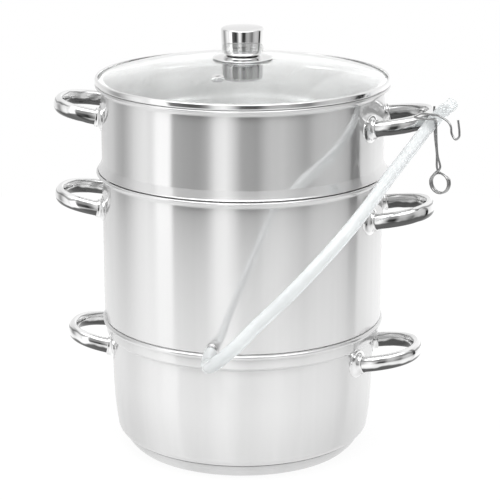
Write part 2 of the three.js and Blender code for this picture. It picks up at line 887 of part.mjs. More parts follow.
function wire(points, steps) {
  const section = new THREE.Shape();
  section.absarc(0, 0, wireRadius, 0, fullTurn);
  const path = new THREE.CatmullRomCurve3(points);
  return solid(new THREE.ExtrudeGeometry(section, {
    steps,
    curveSegments: wireSides / 2,
    extrudePath: path,
  }));
}

function placed(shares, side) {
  return shares.map(([out, along, up]) => new THREE.Vector3(
    out * clampReach, along * clampReach + side, up * clampReach,
  ));
}

function clampParts() {
  const springPoints = [
    new THREE.Vector3(-clampJawHalfGap, coilHalfWidth, springTipShare * clampReach),
    new THREE.Vector3(-clampJawHalfGap, coilHalfWidth, 0),
    ...placed(springArmShares, coilHalfWidth).reverse(),
  ];
  const turnSteps = Math.round(coilTurns * coilStepsPerTurn);
  for (let i = 0; i <= turnSteps; i += 1) {
    springPoints.push(coilPoint((coilTurns * i) / turnSteps));
  }
  const leverPoints = [
    ...placed(leverArmShares, -coilHalfWidth),
    new THREE.Vector3(clampJawHalfGap, -coilHalfWidth, 0),
    ...placed(keeperShares, -coilHalfWidth),
  ];
  leverPoints.unshift(coilPoint(coilTurns + clampSplitGap / (fullTurn * coilRadius)));
  return { springPoints, leverPoints };
}

// Least clear gap between the coil's turns, measured on points of the wire's middle
function leastCoilGap() {
  const steps = Math.round(coilTurns * coilStepsPerTurn);
  const points = Array.from({ length: steps + 1 }, (_, i) => coilPoint((coilTurns * i) / steps));
  let least = Infinity;
  for (let i = 0; i < points.length; i += 1) {
    for (let j = i + coilStepsPerTurn / 2; j < points.length; j += 1) {
      least = Math.min(least, points[i].distanceTo(points[j]));
    }
  }
  return least - 2 * wireRadius;
}

function addClamp(group) {
  const { at, outward } = pinchFrame();
  const { springPoints, leverPoints } = clampParts();
  const clamp = new THREE.Group();
  clamp.position.copy(at);
  clamp.rotation.z = Math.atan2(outward.y, outward.x);
  const coilSteps = Math.round(coilTurns * coilStepsPerTurn);
  clamp.add(piece('clamp_spring', wire(springPoints, springSteps + coilSteps), wireSteel));
  clamp.add(piece('clamp_lever', wire(leverPoints, clampSteps + springSteps), wireSteel));
  group.add(clamp);
}

// The stack: each tier stands on the one below
const juicer = new THREE.Group();
const kettleZ = potHeight + fitGap;
const basketZ = kettleZ + kettleHeight;
const lidZ = basketZ + basketHeight + fitGap;

juicer.add(waterPot());
const kettle = juiceKettle();
kettle.position.z = kettleZ;
juicer.add(kettle);
const basket = fruitBasket();
basket.position.z = basketZ;
juicer.add(basket);
const cover = lid();
cover.position.z = lidZ;
juicer.add(cover);

const spoutMatrix = new THREE.Matrix4().makeTranslation(0, 0, kettleZ);
juicer.add(piece('drain_hose', drainHose(spoutMatrix), silicone));
addClamp(juicer);
console.log(`least gap of the clamp's coil to itself: ${leastCoilGap().toFixed(2)} mm`);

export default juicer;
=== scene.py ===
"""Looks of the steam juicer: polished tiers, glass lid, clear hose and its wire clamp.

Sizes are in metres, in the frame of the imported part: +Z up, the base at z = 0,
+X roughly through the right handles, -Y roughly through the drain spout.
"""

import math

import bmesh
import bpy
from mathutils import Matrix, Vector


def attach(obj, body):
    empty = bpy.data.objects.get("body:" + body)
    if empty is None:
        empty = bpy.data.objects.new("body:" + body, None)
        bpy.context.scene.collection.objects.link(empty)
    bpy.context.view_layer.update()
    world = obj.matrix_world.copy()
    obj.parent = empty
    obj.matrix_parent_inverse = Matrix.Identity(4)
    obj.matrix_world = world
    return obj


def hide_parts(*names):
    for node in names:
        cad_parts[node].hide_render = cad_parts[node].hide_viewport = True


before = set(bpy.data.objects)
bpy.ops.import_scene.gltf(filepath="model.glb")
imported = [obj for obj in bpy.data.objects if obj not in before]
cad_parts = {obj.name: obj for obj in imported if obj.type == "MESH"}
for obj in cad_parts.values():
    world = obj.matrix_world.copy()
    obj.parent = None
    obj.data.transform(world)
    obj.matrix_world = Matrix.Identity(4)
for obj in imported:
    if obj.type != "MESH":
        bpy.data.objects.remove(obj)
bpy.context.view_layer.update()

# Camera, matched to the rims' ellipses
CAMERA_PLACE = (0.2437, -1.7560, 0.6847)
CAMERA_PITCH = 0.274
CAMERA_HEADING = math.radians(7.9)
CAMERA_LENS = 140.8
CAMERA_SHIFT = (0.0146, -0.0018)

# Sheet, fits and mesh density
SHEET = 0.0008
FIT = 0.0003
RING_SIDES = 192
FINE_SIDES = 128
SMALL_SIDES = 64
SHARP_ANGLE = math.radians(38)
MERGE_DISTANCE = 1e-6
LEAST_EDGE = 1e-7
MITRE_LIMIT = 0.5
CURVE_SAMPLES = 24
UP = Vector((0, 0, 1))

# Heights of the tiers
POT_HEIGHT = 0.125
KETTLE_Z = POT_HEIGHT + FIT
KETTLE_HEIGHT = 0.1401
BASKET_Z = KETTLE_Z + KETTLE_HEIGHT
BASKET_HEIGHT = 0.0811
LID_Z = BASKET_Z + BASKET_HEIGHT + FIT

# Base and water pot
BASE_FOOT_RADIUS = 0.104
BASE_RIM_RADIUS = 0.1132
BASE_HEIGHT = 0.0124
BASE_ROUND_SHARE = 0.55
POT_RADIUS = 0.1235
POT_HEEL_RADIUS = 0.1193
POT_CORNER = 0.0085
POT_BELLY_HEIGHT = 0.062
POT_BELLY_BULGE = 0.0014
POT_COLLAR_HEIGHT = 0.0185
POT_FLARE_HEIGHT = 0.006
POT_BEAD = 0.0024

# Kettle and basket, with the angles of a rim's bead in degrees
WALL_RADIUS = 0.1306
FOOT_STEP = 0.0028
FOOT_PLAY = 0.0004
FOOT_CORNER = 0.004
KETTLE_FOOT = 0.0078
KETTLE_SHOULDER = 0.0016
BASKET_FOOT = 0.0134
COLLAR_HEIGHT = 0.0098
COLLAR_REACH = 0.0034
COLLAR_PLAY = 0.0007
COLLAR_LIP = 0.0005
STOP_BEAD = 0.0014
STOP_DROP = 0.0040
RIM_OVERHANG = 0.0053
RIM_BEAD = 0.0014
RIM_FLARE = 0.007
RIM_FLARE_SHARE = 0.6
RIM_JOIN = 215
RIM_BEAD_ARC = (235, 505)

# Steam funnel
FUNNEL_BASE_RADIUS = 0.041
FUNNEL_TOP_RADIUS = 0.022
FUNNEL_HEIGHT = 0.117
FUNNEL_FLANGE = 0.007
FUNNEL_LIP = 0.0012
FUNNEL_FOOT_BEND = (3 * SHEET, 4 * SHEET)

# Holes in the basket's floor
HOLE_RADIUS = 0.003
HOLE_RING_PITCH = 0.0245
HOLE_RINGS = 4
HOLES_PER_STEP = 6
HOLE_SIDES = 20

# Handles, with their turns about +Z in degrees
HANDLE_TALL = 0.0145
HANDLE_THICK = 0.009
HANDLE_HALF_SPAN = 0.0378
HANDLE_SQUARENESS = 2.2
HANDLE_RISE = 0.0072
UPPER_REACH = 0.180
POT_REACH = 0.172
POT_HANDLE_Z = POT_HEIGHT - 0.031
KETTLE_HANDLE_Z = KETTLE_Z + KETTLE_HEIGHT - 0.036
BASKET_HANDLE_Z = BASKET_Z + BASKET_HEIGHT - 0.0311
POT_TURN = -5.1
KETTLE_TURN = -2.8
BASKET_TURN = -4.0
CUP_TALL = 0.025
CUP_WIDE = 0.027
CUP_LENGTH = 0.0056
CUP_EDGE = 0.0009
CUP_FLARE_POWER = 3
CUP_REACH_POWER = 1.5
SOCKET_WALL = 0.0012
SOCKET_DEPTH = 0.0026
HANDLE_BEND_STEPS = 120
HANDLE_STEPS = 110
HANDLE_SIDES = 32
CUP_STEPS = 14

# Lid
BAND_RADIUS = 0.1359
BAND_HEIGHT = 0.0057
BAND_LIP = 0.0028
BAND_ROUND = 0.0016
SKIRT_PLAY = 0.0012
SKIRT_DEPTH = 0.005
GLASS_THICK = 0.0034
GLASS_RISE = 0.0178
DOME_STEPS = 48
VENT_RADIUS = 0.0032
VENT_DISTANCE = 0.073
VENT_TURN = -9.5
GROMMET_FLANGE = 0.0023
GROMMET_LIP = 0.0009
KNOB_TOP_RADIUS = 0.020
KNOB_WAIST_RADIUS = 0.0192
KNOB_FOOT_RADIUS = 0.015
KNOB_HEIGHT = 0.0262
KNOB_TOP_ROUND = 0.0024
KNOB_HEEL = 0.0058
KNOB_HEEL_SHARE = 0.55
KNOB_CROWN = 0.0009
KNOB_EDGE = 0.0006
CAP_RADIUS = 0.0277
CAP_RISE = 0.0020
CAP_WAIST_RADIUS = KNOB_FOOT_RADIUS * 1.5
SCREW_RADIUS = 0.0025
SCREW_HEAD_RADIUS = 0.0055
SCREW_HEAD_HEIGHT = 0.0022
SCREW_GRIP = 0.009
WASHER_RADIUS = 0.009
WASHER_THICK = 0.0014

# Drain spout
SPOUT_TURN = math.radians(-3.9)
SPOUT_Z = KETTLE_Z + 0.0057
SPOUT_DROP = math.radians(12)
SPOUT_RADIUS = 0.004
SPOUT_BORE = 0.003
SPOUT_LENGTH = 0.018
SPOUT_INSET = 0.0012
SPOUT_COLLAR_RADIUS = 0.0058
SPOUT_COLLAR_THICK = 0.002
SPOUT_RIDGE_RADIUS = 0.0052
SPOUT_RIDGE_GAP = 0.0012

# Drain hose, from the spout to its free end
HOSE_RADIUS = 0.00575
HOSE_BORE = 0.0043
HOSE_STEPS = 220
HOSE_SIDES = 32
HOSE_PINCH_SHARE = 0.938
HOSE_PINCH_FLAT = 0.011
HOSE_PINCH_EASE = 0.011
HOSE_PINCH_HALF_THICK = 0.0014
HOSE_PINCH_HALF_WIDE = 0.0082
HOSE_PINCH_SLIT = 0.0002
HOSE_ROUTE = [
    (-0.0094, -0.1382, 0.1293),
    (-0.0100, -0.1467, 0.1275),
    (-0.0089, -0.1608, 0.1264),
    (-0.0051, -0.1766, 0.1293),
    (0.0018, -0.1904, 0.1368),
    (0.0125, -0.2009, 0.1482),
    (0.0252, -0.2053, 0.1611),
    (0.0393, -0.2048, 0.1768),
    (0.0562, -0.2046, 0.1940),
    (0.0735, -0.2015, 0.2120),
    (0.0895, -0.1950, 0.2290),
    (0.1035, -0.1855, 0.2440),
    (0.1155, -0.1720, 0.2570),
    (0.1260, -0.1530, 0.2680),
    (0.1345, -0.1310, 0.2770),
    (0.1425, -0.1090, 0.2860),
    (0.1505, -0.0895, 0.2940),
    (0.1595, -0.0705, 0.3035),
    (0.1690, -0.0510, 0.3140),
    (0.1800, -0.0315, 0.3245),
    (0.1930, -0.0140, 0.3340),
]

# Hose clamp: places are shares of its reach, outward, along the hose and up
WIRE_RADIUS = 0.001
WIRE_SIDES = 20
WIRE_STEPS = 260
CLAMP_REACH = 0.0573
CLAMP_STAND_OFF = 0.0072
COIL_RADIUS = 0.0091
COIL_TURNS = 1.66
COIL_PITCH = 0.0029
COIL_START = math.radians(30)
COIL_STEPS_PER_TURN = 24
CLAMP_JAW_HALF_GAP = 0.00275
CLAMP_SPLIT_GAP = 0.00045
SPRING_TIP_SHARE = 0.2
SPRING_ARM_SHARES = [
    (0.068, 0.0, -0.829),
    (0.035, 0.0, -0.775),
    (0.023, 0.0, -0.555),
    (-0.02, 0.0, -0.274),
]
LEVER_ARM_SHARES = [
    (0.068, 0.0, -0.829),
    (0.148, 0.0, -0.747),
    (0.096, 0.0, -0.555),
    (0.07, 0.0, -0.35),
]
KEEPER_SHARES = [
    (0.075, -0.05, 0.035),
    (0.115, -0.19, 0.06),
    (0.02, -0.38, 0.085),
    (-0.02, -0.485, 0.125),
    (0.02, -0.4, 0.165),
    (0.1, -0.2, 0.13),
    (0.12, -0.05, 0.09),
    (0.3, -0.045, 0.02),
    (0.355, -0.045, -0.05),
    (0.375, -0.045, -0.16),
    (0.445, -0.045, -0.24),
    (0.51, -0.045, -0.195),
    (0.515, -0.045, -0.115),
    (0.485, -0.045, 0.07),
]

# The Mix node's sockets for two colours and for the colour between them
MIX_FIRST = 6
MIX_SECOND = 7
MIX_RESULT = 2

# Finishes: a span says where a smooth step starts and ends
WALL_STEEL = {"tone": 0.86, "gloss": 0.06, "spread": 0.62, "share": 0.5}
BASE_STEEL = {"tone": 0.82, "gloss": 0.12, "spread": 0.6, "share": 0.6}
TRIM_STEEL = {"tone": 0.82, "gloss": 0.04, "spread": 0.3, "share": 0.2}
INSIDE_WALL = WALL_RADIUS - SHEET
STEEL_TONE_PLAY = 0.02
STEEL_TINT_SPAN = (0.3, 0.7)
BRUSHED_ANISOTROPY = 0.9
BRUSHED_TURN = 0.25
# Broad dark streaks on a tier's inside wall: a painted reflection of the studio in its tone
PAINTED_STREAK_SPAN = (0.42, 0.58)
PAINTED_STREAK_DEPTH = 0.5
PAINTED_STREAK_GREY = 0.4
INSIDE_CALM = 0.75
CHROME_GREYS = (0.78, 0.86)
FACING_DOWN = "facing_down"
# The handles' painted reflection: the studio's dark painted on their lower faces, and a painted
# dark line on their shoulders
GRIP_PAINTED_WAVES = 0.9
GRIP_PAINTED_DARK = 0.92
GRIP_PAINTED_DARK_SPANS = ((0.02, 0.2), (0.78, 0.95))
GRIP_PAINTED_LINE = 0.6
GRIP_PAINTED_LINE_SPANS = ((-0.66, -0.56), (-0.5, -0.4))
GRIP_PAINTED_DARK_GREY = 0.05
GLASS_WIPE_SPAN = (0.45, 0.8)

# Studio: the table's glow is what the camera sees of it, its gleam what the steel mirrors
WHITE = 1.0
FLOOR_RADIUS = 1.0
TABLE_GREY = 0.86
TABLE_ROUGHNESS = 0.9
TABLE_FADE = 0.55
TABLE_GLEAM = 1.22
TABLE_GLOW = 0.9
# The steel's view of the table is darker near its middle: painted shade round the tiers' foot
TABLE_PAINTED_SHADE = 0.74
TABLE_PAINTED_SHADE_SPAN = (0.1, 0.3)
# Brightness of the room overhead, through the lid and for matt faces, and how its bands level out
ROOM_FRONT_LIGHT = 4.0
ROOM_CEILING = 1.05
ROOM_INSIDE_LID = 2.6
ROOM_ZENITH = 0.72
ROOM_ZENITH_INSIDE = 0.95
ROOM_SOFT_LIGHT = 1.45
ROOM_CALM = 0.35
ROOM_CALM_LEVEL = 0.8
# Spans of the direction's z, and of its y for the front
ROOM_THROUGH_SPAN = (0.0, 0.1)
ROOM_CALM_SPAN = (0.0, 0.25)
ROOM_OVERHEAD_SPAN = (0.5, 0.75)
ROOM_ZENITH_SPAN = (0.86, 0.95)
ROOM_FRONT_SPAN = (-0.35, 0.0)
# Brightness of the room by direction, in degrees from -Y towards +X
ROOM_BANDS = [
    (-180, 1.00),
    (-140, 0.95),
    (-122, 0.80),
    (-113, 0.50),
    (-104, 0.35),
    (-97, 0.55),
    (-88, 0.95),
    (-78, 1.10),
    (-70, 0.95),
    (-64, 1.45),
    (-53, 1.45),
    (-49, 0.15),
    (-40, 0.10),
    (-27, 0.03),
    (-20, 0.25),
    (-13, 0.95),
    (-6, 1.15),
    (-1, 0.80),
    (7, 0.06),
    (19, 0.03),
    (28, 0.45),
    (39, 0.50),
    (50, 0.30),
    (60, 0.18),
    (68, 0.50),
    (80, 0.65),
    (95, 0.60),
    (103, 0.40),
    (106, 0.00),
    (114, 0.00),
    (118, 0.95),
    (145, 1.20),
]
# Name, place, size and power in watts of each lamp
LAMPS = [
    ("softbox_top", (0.0, -0.3, 1.9), (1.6, 1.6), 10),
    ("softbox_left", (-1.5, -0.9, 1.0), (0.7, 1.6), 6),
    ("softbox_right", (1.6, -0.7, 0.9), (0.6, 1.6), 4),
]
LAMP_AIM = Vector((0, 0, 0.18))


def make_camera():
    camera = bpy.data.objects.new("camera", bpy.data.cameras.new("camera"))
    bpy.context.scene.collection.objects.link(camera)
    camera.location = CAMERA_PLACE
    camera.rotation_euler = (math.pi / 2 - CAMERA_PITCH, 0, CAMERA_HEADING)
    camera.data.lens = CAMERA_LENS
    camera.data.shift_x, camera.data.shift_y = CAMERA_SHIFT
    bpy.context.scene.camera = camera


make_camera()
bpy.context.scene.view_settings.view_transform = "Standard"


# Profiles: lists of (radius, height)
def arc(centre_r, centre_z, radius, start, end, steps):
    """Points of an arc, its angles in degrees."""
    angles = [math.radians(start + (end - start) * i / steps) for i in range(steps + 1)]
    return [(centre_r + radius * math.cos(a), centre_z + radius * math.sin(a)) for a in angles]


def lower_corner(radius, low, soft, steps=4):
    """A rounded corner from a lower face up to the outer face at a radius."""
    return arc(radius - soft, low + soft, soft, -90, 0, steps)


def upper_corner(radius, high, soft, steps=4):
    """A rounded corner from the outer face at a radius up to an upper face."""
    return arc(radius - soft, high - soft, soft, 0, 90, steps)


def rounded_edge(radius, low, high, soft, steps=4):
    """The outer face of a disc with both its corners."""
    return lower_corner(radius, low, soft, steps) + upper_corner(radius, high, soft, steps)


def bend(corners, steps):
    """Points of a Bezier curve through its first and last corner."""
    order = len(corners) - 1
    points = []
    for i in range(steps + 1):
        t = i / steps
        shares = [math.comb(order, k) * t**k * (1 - t) ** (order - k) for k in range(order + 1)]
        points.append(tuple(sum(s * c[axis] for s, c in zip(shares, corners)) for axis in (0, 1)))
    return points


def inset(line, distance):
    """The same line, moved to the left of its direction."""
    moved = []
    for i, (r, z) in enumerate(line):
        steps = []
        for a, b in ((i - 1, i), (i, i + 1)):
            if a >= 0 and b < len(line):
                step = Vector(line[b]) - Vector(line[a])
                if step.length > 0:
                    steps.append(step.normalized())
        middle = sum(steps, Vector((0, 0))).normalized()
        stretch = distance / max(middle.dot(steps[0]), MITRE_LIMIT)
        moved.append((max(r - middle.y * stretch, 0), z + middle.x * stretch))
    return moved


def shell(outer, edge):
    """A sheet wall: outer line, rolled edge, and the inner line back again."""
    return outer + edge + inset(outer, SHEET)[::-1]


# Meshes
def smooth(mesh):
    mesh.shade_smooth()
    mesh.set_sharp_from_angle(angle=SHARP_ANGLE)


def finished(name, bm, placed=None):
    """Places and cleans a mesh, points its faces outwards and makes it a smooth object."""
    if placed is not None:
        bmesh.ops.transform(bm, matrix=placed, verts=bm.verts)
    bmesh.ops.remove_doubles(bm, verts=bm.verts, dist=MERGE_DISTANCE)
    bmesh.ops.dissolve_degenerate(bm, dist=LEAST_EDGE, edges=bm.edges)
    bmesh.ops.recalc_face_normals(bm, faces=bm.faces)
    mesh = bpy.data.meshes.new(name)
    bm.to_mesh(mesh)
    bm.free()
    smooth(mesh)
    piece = bpy.data.objects.new(name, mesh)
    bpy.context.scene.collection.objects.link(piece)
    return piece


def lathe(name, profile, sides=RING_SIDES, placed=None):
    """A closed profile turned round the Z axis."""
    bm = bmesh.new()
    verts = [bm.verts.new((r, 0, z)) for r, z in profile]
    pairs = zip(verts, verts[1:] + verts[:1])
    edges = [bm.edges.new(pair) for pair in pairs if pair[0].co.x > 0 or pair[1].co.x > 0]
    bmesh.ops.spin(
        bm, geom=verts + edges, axis=UP, cent=(0, 0, 0), angle=math.tau, steps=sides, use_merge=True
    )
    return finished(name, bm, placed)


def frames_along(points, up):
    """A frame at each point, carried along without twist: its Z is the path's direction."""
    frames = []
    side = None
    for i, point in enumerate(points):
        ahead = points[min(i + 1, len(points) - 1)]
        behind = points[max(i - 1, 0)]
        along = (ahead - behind).normalized()
        if side is None:
            side = up.cross(along).normalized()
        side = (side - along * side.dot(along)).normalized()
        upward = along.cross(side)
        turned = Matrix((side, upward, along)).transposed().to_4x4()
        frames.append(Matrix.Translation(point) @ turned)
    return frames


def ring_edges(verts):
    return list({edge for vert in verts for edge in vert.link_edges})


def add_tube(bm, frames, half_wide, half_tall, sides):
    """An oval ring, extruded from frame to frame. Returns the edges of its two ends."""
    oval = frames[0] @ Matrix.Diagonal((half_wide, half_tall, 1, 1))
    ring = bmesh.ops.create_circle(bm, cap_ends=False, radius=1, segments=sides, matrix=oval)
    first = edges = ring_edges(ring["verts"])
    for before, after in zip(frames, frames[1:]):
        grown = bmesh.ops.extrude_edge_only(bm, edges=edges)["geom"]
        verts = [part for part in grown if isinstance(part, bmesh.types.BMVert)]
        edges = [part for part in grown if isinstance(part, bmesh.types.BMEdge)]
        bmesh.ops.transform(bm, matrix=after @ before.inverted(), verts=verts)
    return first, edges


def close_ends(bm, ends):
    for end in ends:
        bmesh.ops.contextual_create(bm, geom=end)


def tube(name, points, up, half_wide, half_tall, sides, placed):
    bm = bmesh.new()
    close_ends(bm, add_tube(bm, frames_along(points, up), half_wide, half_tall, sides))
    return finished(name, bm, placed)


def cut(piece, cutter_mesh):
    """Cuts a piece with a closed mesh."""
    cutter = finished(piece.name + "_cutter", cutter_mesh)
    modifier = piece.modifiers.new("cut", "BOOLEAN")
    modifier.operation = "DIFFERENCE"
    modifier.solver = "EXACT"
    modifier.object = cutter
    evaluated = piece.evaluated_get(bpy.context.evaluated_depsgraph_get())
    mesh = bpy.data.meshes.new_from_object(evaluated)
    piece.modifiers.clear()
    piece.data = mesh
    smooth(mesh)
    bpy.data.objects.remove(cutter)


def catmull_rom(points, steps):
    """A centripetal curve through points, sampled evenly along its length."""
    points = [Vector(p) for p in points]
    padded = [points[0] * 2 - points[1], *points, points[-1] * 2 - points[-2]]
    fine = []
    for p0, p1, p2, p3 in zip(padded, padded[1:], padded[2:], padded[3:]):
        d0, d1, d2 = (math.sqrt((b - a).length) for a, b in ((p0, p1), (p1, p2), (p2, p3)))
        t1 = ((p1 - p0) / d0 - (p2 - p0) / (d0 + d1) + (p2 - p1) / d1) * d1
        t2 = ((p2 - p1) / d1 - (p3 - p1) / (d1 + d2) + (p3 - p2) / d2) * d1
        for i in range(CURVE_SAMPLES):
            t = i / CURVE_SAMPLES
            fine.append(
                p1 * (2 * t**3 - 3 * t**2 + 1)
                + t1 * (t**3 - 2 * t**2 + t)
                + p2 * (3 * t**2 - 2 * t**3)
                + t2 * (t**3 - t**2)
            )
    fine.append(points[-1])
    return evenly(fine, steps)


def evenly(line, steps):
    """Points at even distances along a fine line."""
    lengths = [0.0]
    for a, b in zip(line, line[1:]):
        lengths.append(lengths[-1] + (b - a).length)
    spaced = []
    at = 0
    for i in range(steps + 1):
        wanted = lengths[-1] * i / steps
        while at < len(line) - 2 and lengths[at + 1] < wanted:
            at += 1
        share = (wanted - lengths[at]) / (lengths[at + 1] - lengths[at])
        spaced.append(line[at].lerp(line[at + 1], share))
    return spaced


def line_length(line):
    return sum((b - a).length for a, b in zip(line, line[1:]))


def mark_facing_down(piece):
    """Keeps how far each point of a mesh faces downwards."""
    kept = piece.data.attributes.new(FACING_DOWN, "FLOAT", "POINT")
    for vert, value in zip(piece.data.vertices, kept.data):
        value.value = -vert.normal.z


# Shader maths: a socket that can be used in a sum, and one way to add any node
class Value:
    def __init__(self, tree, socket):
        self.tree = tree
        self.socket = socket

    def maths(self, operation, *terms):
        settings = {"operation": operation}
        return add_node(self.tree, "ShaderNodeMath", settings, dict(enumerate(terms)))

    def __add__(self, other):
        return self.maths("ADD", self, other)

    def __radd__(self, other):
        return self.maths("ADD", other, self)

    def __sub__(self, other):
        return self.maths("SUBTRACT", self, other)

    def __rsub__(self, other):
        return self.maths("SUBTRACT", other, self)

    def __mul__(self, other):
        return self.maths("MULTIPLY", self, other)

    def __truediv__(self, other):
        return self.maths("DIVIDE", self, other)

    def __pow__(self, other):
        return self.maths("POWER", self, other)

    def clamped(self):
        return add_node(self.tree, "ShaderNodeClamp", {}, {"Value": self}, "Result")

    def between(self, low, high):
        """0 below low, 1 above high, and a smooth step in between."""
        settings = {"interpolation_type": "SMOOTHSTEP"}
        values = {"Value": self, "From Min": low, "From Max": high}
        return add_node(self.tree, "ShaderNodeMapRange", settings, values, "Result")

    def within(self, rise, fall):
        """1 between a rising and a falling smooth step."""
        return self.between(*rise) * (1.0 - self.between(*fall))


def fill(tree, socket, value):
    """Links a value to a socket, or sets it."""
    if isinstance(value, Value):
        tree.links.new(value.socket, socket)
    else:
        socket.default_value = value


def add_node(tree, kind, settings, values, output=0):
    """Adds a node, sets it up, fills its sockets and returns one output."""
    node = tree.nodes.new(kind)
    for name, setting in settings.items():
        if name == "stops":
            fill_ramp(node.color_ramp, setting)
        else:
            setattr(node, name, setting)
    for name, value in values.items():
        fill(tree, node.inputs[name], value)
    return Value(tree, node.outputs[output])


def fill_ramp(ramp, stops):
    while len(ramp.elements) < len(stops):
        ramp.elements.new(1.0)
    for element, (place, colour) in zip(ramp.elements, stops):
        element.position = place
        element.color = colour


def grey(level):
    return (level, level, level, 1.0)


def axes(tree, place):
    """The x, y and z of a vector."""
    split = add_node(tree, "ShaderNodeSeparateXYZ", {}, {0: place}).socket.node
    return [Value(tree, output) for output in split.outputs]


def object_place(tree):
    return add_node(tree, "ShaderNodeTexCoord", {}, {}, "Object")


def ray(tree, kind):
    """1 for rays of a kind, such as Camera, and 0 for all others."""
    return add_node(tree, "ShaderNodeLightPath", {}, {}, f"Is {kind} Ray")


def emission(tree, strength):
    values = {"Color": grey(WHITE), "Strength": strength}
    return add_node(tree, "ShaderNodeEmission", {}, values)


def noise(tree, place, scale, stretch=(1, 1, 1), detail=3.0):
    values = {"Vector": place, "Scale": stretch}
    stretched = add_node(tree, "ShaderNodeMapping", {}, values, "Vector")
    values = {"Vector": stretched, "Scale": scale, "Detail": detail}
    return add_node(tree, "ShaderNodeTexNoise", {}, values, "Fac")


def mixed(tree, share, first, second):
    """A colour between two colours."""
    values = {0: share, MIX_FIRST: first, MIX_SECOND: second}
    return add_node(tree, "ShaderNodeMix", {"data_type": "RGBA"}, values, MIX_RESULT)


def shader_mix(tree, share, first, second):
    """A shader between two shaders."""
    return add_node(tree, "ShaderNodeMixShader", {}, {0: share, 1: first, 2: second})


def bumped(tree, height, distance, strength):
    values = {"Height": height, "Distance": distance, "Strength": strength}
    return add_node(tree, "ShaderNodeBump", {}, values, "Normal")


def principled(tree):
    return Value(tree, tree.nodes["Principled BSDF"].outputs[0])


def show(tree, shader):
    """Makes a shader the material's surface."""
    fill(tree, tree.nodes["Material Output"].inputs["Surface"], shader)


def material(name, paint):
    """A material whose Principled shader is filled by a function."""
    made = bpy.data.materials.new(name)
    made.use_nodes = True
    tree = made.node_tree
    shader = tree.nodes["Principled BSDF"]
    for socket, value in paint(tree).items():
        fill(tree, shader.inputs[socket], value)
    return made


def steel(tone, gloss, spread, share, bore=0.0):
    """Turned steel: a sharp reflection, and one that fine lines round the axis spread up and down.

    Tone is its grey, gloss and spread the roughness of the two, share the weight of the second.
    The face at the bore's radius, a tier's inside, has less of the second, and broad dark streaks
    of painted reflection in its tone.
    """

    def paint(tree):
        place = object_place(tree)
        x, y, _ = axes(tree, place)
        out = (x * x + y * y) ** 0.5
        inside = out.within(
            rise=(bore - SHEET * 2, bore - SHEET),
            fall=(bore + SHEET / 4, bore + SHEET * 0.6),
        )
        # Broad dark streaks for the inside: painted reflection
        painted_reflection_streaks = noise(tree, place, scale=17.0, stretch=(1, 0.2, 0.02)).between(*PAINTED_STREAK_SPAN)
        lines = noise(tree, place, scale=1.0, stretch=(6, 6, 2600), detail=2.0)
        clouds = noise(tree, place, scale=9.0, stretch=(1, 1, 0.35), detail=4.0)
        streaks = noise(tree, place, scale=55.0, stretch=(1, 1, 0.03), detail=2.0)
        tint = (clouds * 0.6 + streaks * 0.4).between(*STEEL_TINT_SPAN)
        plain = mixed(tree, tint, grey(tone - STEEL_TONE_PLAY), grey(tone + STEEL_TONE_PLAY))
        colour = mixed(tree, inside * painted_reflection_streaks * PAINTED_STREAK_DEPTH, plain, grey(PAINTED_STREAK_GREY))
        brushed = add_node(tree, "ShaderNodeBsdfPrincipled", {}, {
            "Base Color": colour,
            "Metallic": 1.0,
            "Roughness": spread + clouds * 0.06,
            "Anisotropic": BRUSHED_ANISOTROPY,
            "Anisotropic Rotation": BRUSHED_TURN,
        })
        brushing = (share + streaks * 0.1 - 0.05) * (1.0 - inside * INSIDE_CALM)
        show(tree, shader_mix(tree, brushing, principled(tree), brushed))
        return {
            "Base Color": colour,
            "Metallic": 1.0,
            "Roughness": gloss + clouds * 0.04 + lines * 0.02,
            "Normal": bumped(tree, lines, distance=0.00002, strength=0.03),
        }

    return paint


def chrome(tree, colour=None):
    """Smeared chrome, in its own greys or in a given colour."""
    place = object_place(tree)
    smears = noise(tree, place, scale=38.0, detail=5.0)
    scuffs = noise(tree, place, scale=420.0, detail=2.0)
    return {
        "Base Color": colour or mixed(tree, smears, *map(grey, CHROME_GREYS)),
        "Metallic": 1.0,
        "Roughness": 0.04 + smears * 0.05 + scuffs * 0.02,
        "Normal": bumped(tree, smears, distance=0.0002, strength=0.03),
    }


def chrome_painted_reflection(tree):
    """Chrome with a painted reflection: the studio's dark painted on its lower faces, and a painted
    dark line on its shoulder.
    """
    waves = noise(tree, object_place(tree), scale=46.0, stretch=(1, 1, 0.6), detail=2.0)
    facing = add_node(tree, "ShaderNodeAttribute", {"attribute_name": FACING_DOWN}, {}, "Fac")
    down = facing + (waves - 0.5) * GRIP_PAINTED_WAVES
    under = down.within(*GRIP_PAINTED_DARK_SPANS)
    line = down.within(*GRIP_PAINTED_LINE_SPANS)
    dark = (under * GRIP_PAINTED_DARK + line * GRIP_PAINTED_LINE).clamped()
    return chrome(tree, mixed(tree, dark, grey(CHROME_GREYS[1]), grey(GRIP_PAINTED_DARK_GREY)))


def drawn_wire(tree):
    place = object_place(tree)
    marks = noise(tree, place, scale=900.0, stretch=(1, 1, 0.2))
    dull = noise(tree, place, scale=120.0)
    return {
        "Base Color": mixed(tree, dull, grey(0.26), grey(0.5)),
        "Metallic": 1.0,
        "Roughness": 0.16 + marks * 0.12,
        "Normal": bumped(tree, marks, distance=0.00005, strength=0.15),
    }


def cast_aluminium(tree):
    grain = noise(tree, object_place(tree), scale=700.0, detail=4.0)
    return {
        "Base Color": mixed(tree, grain, grey(0.6), grey(0.72)),
        "Metallic": 1.0,
        "Roughness": 0.4 + grain * 0.2,
        "Normal": bumped(tree, grain, distance=0.0001, strength=0.3),
    }


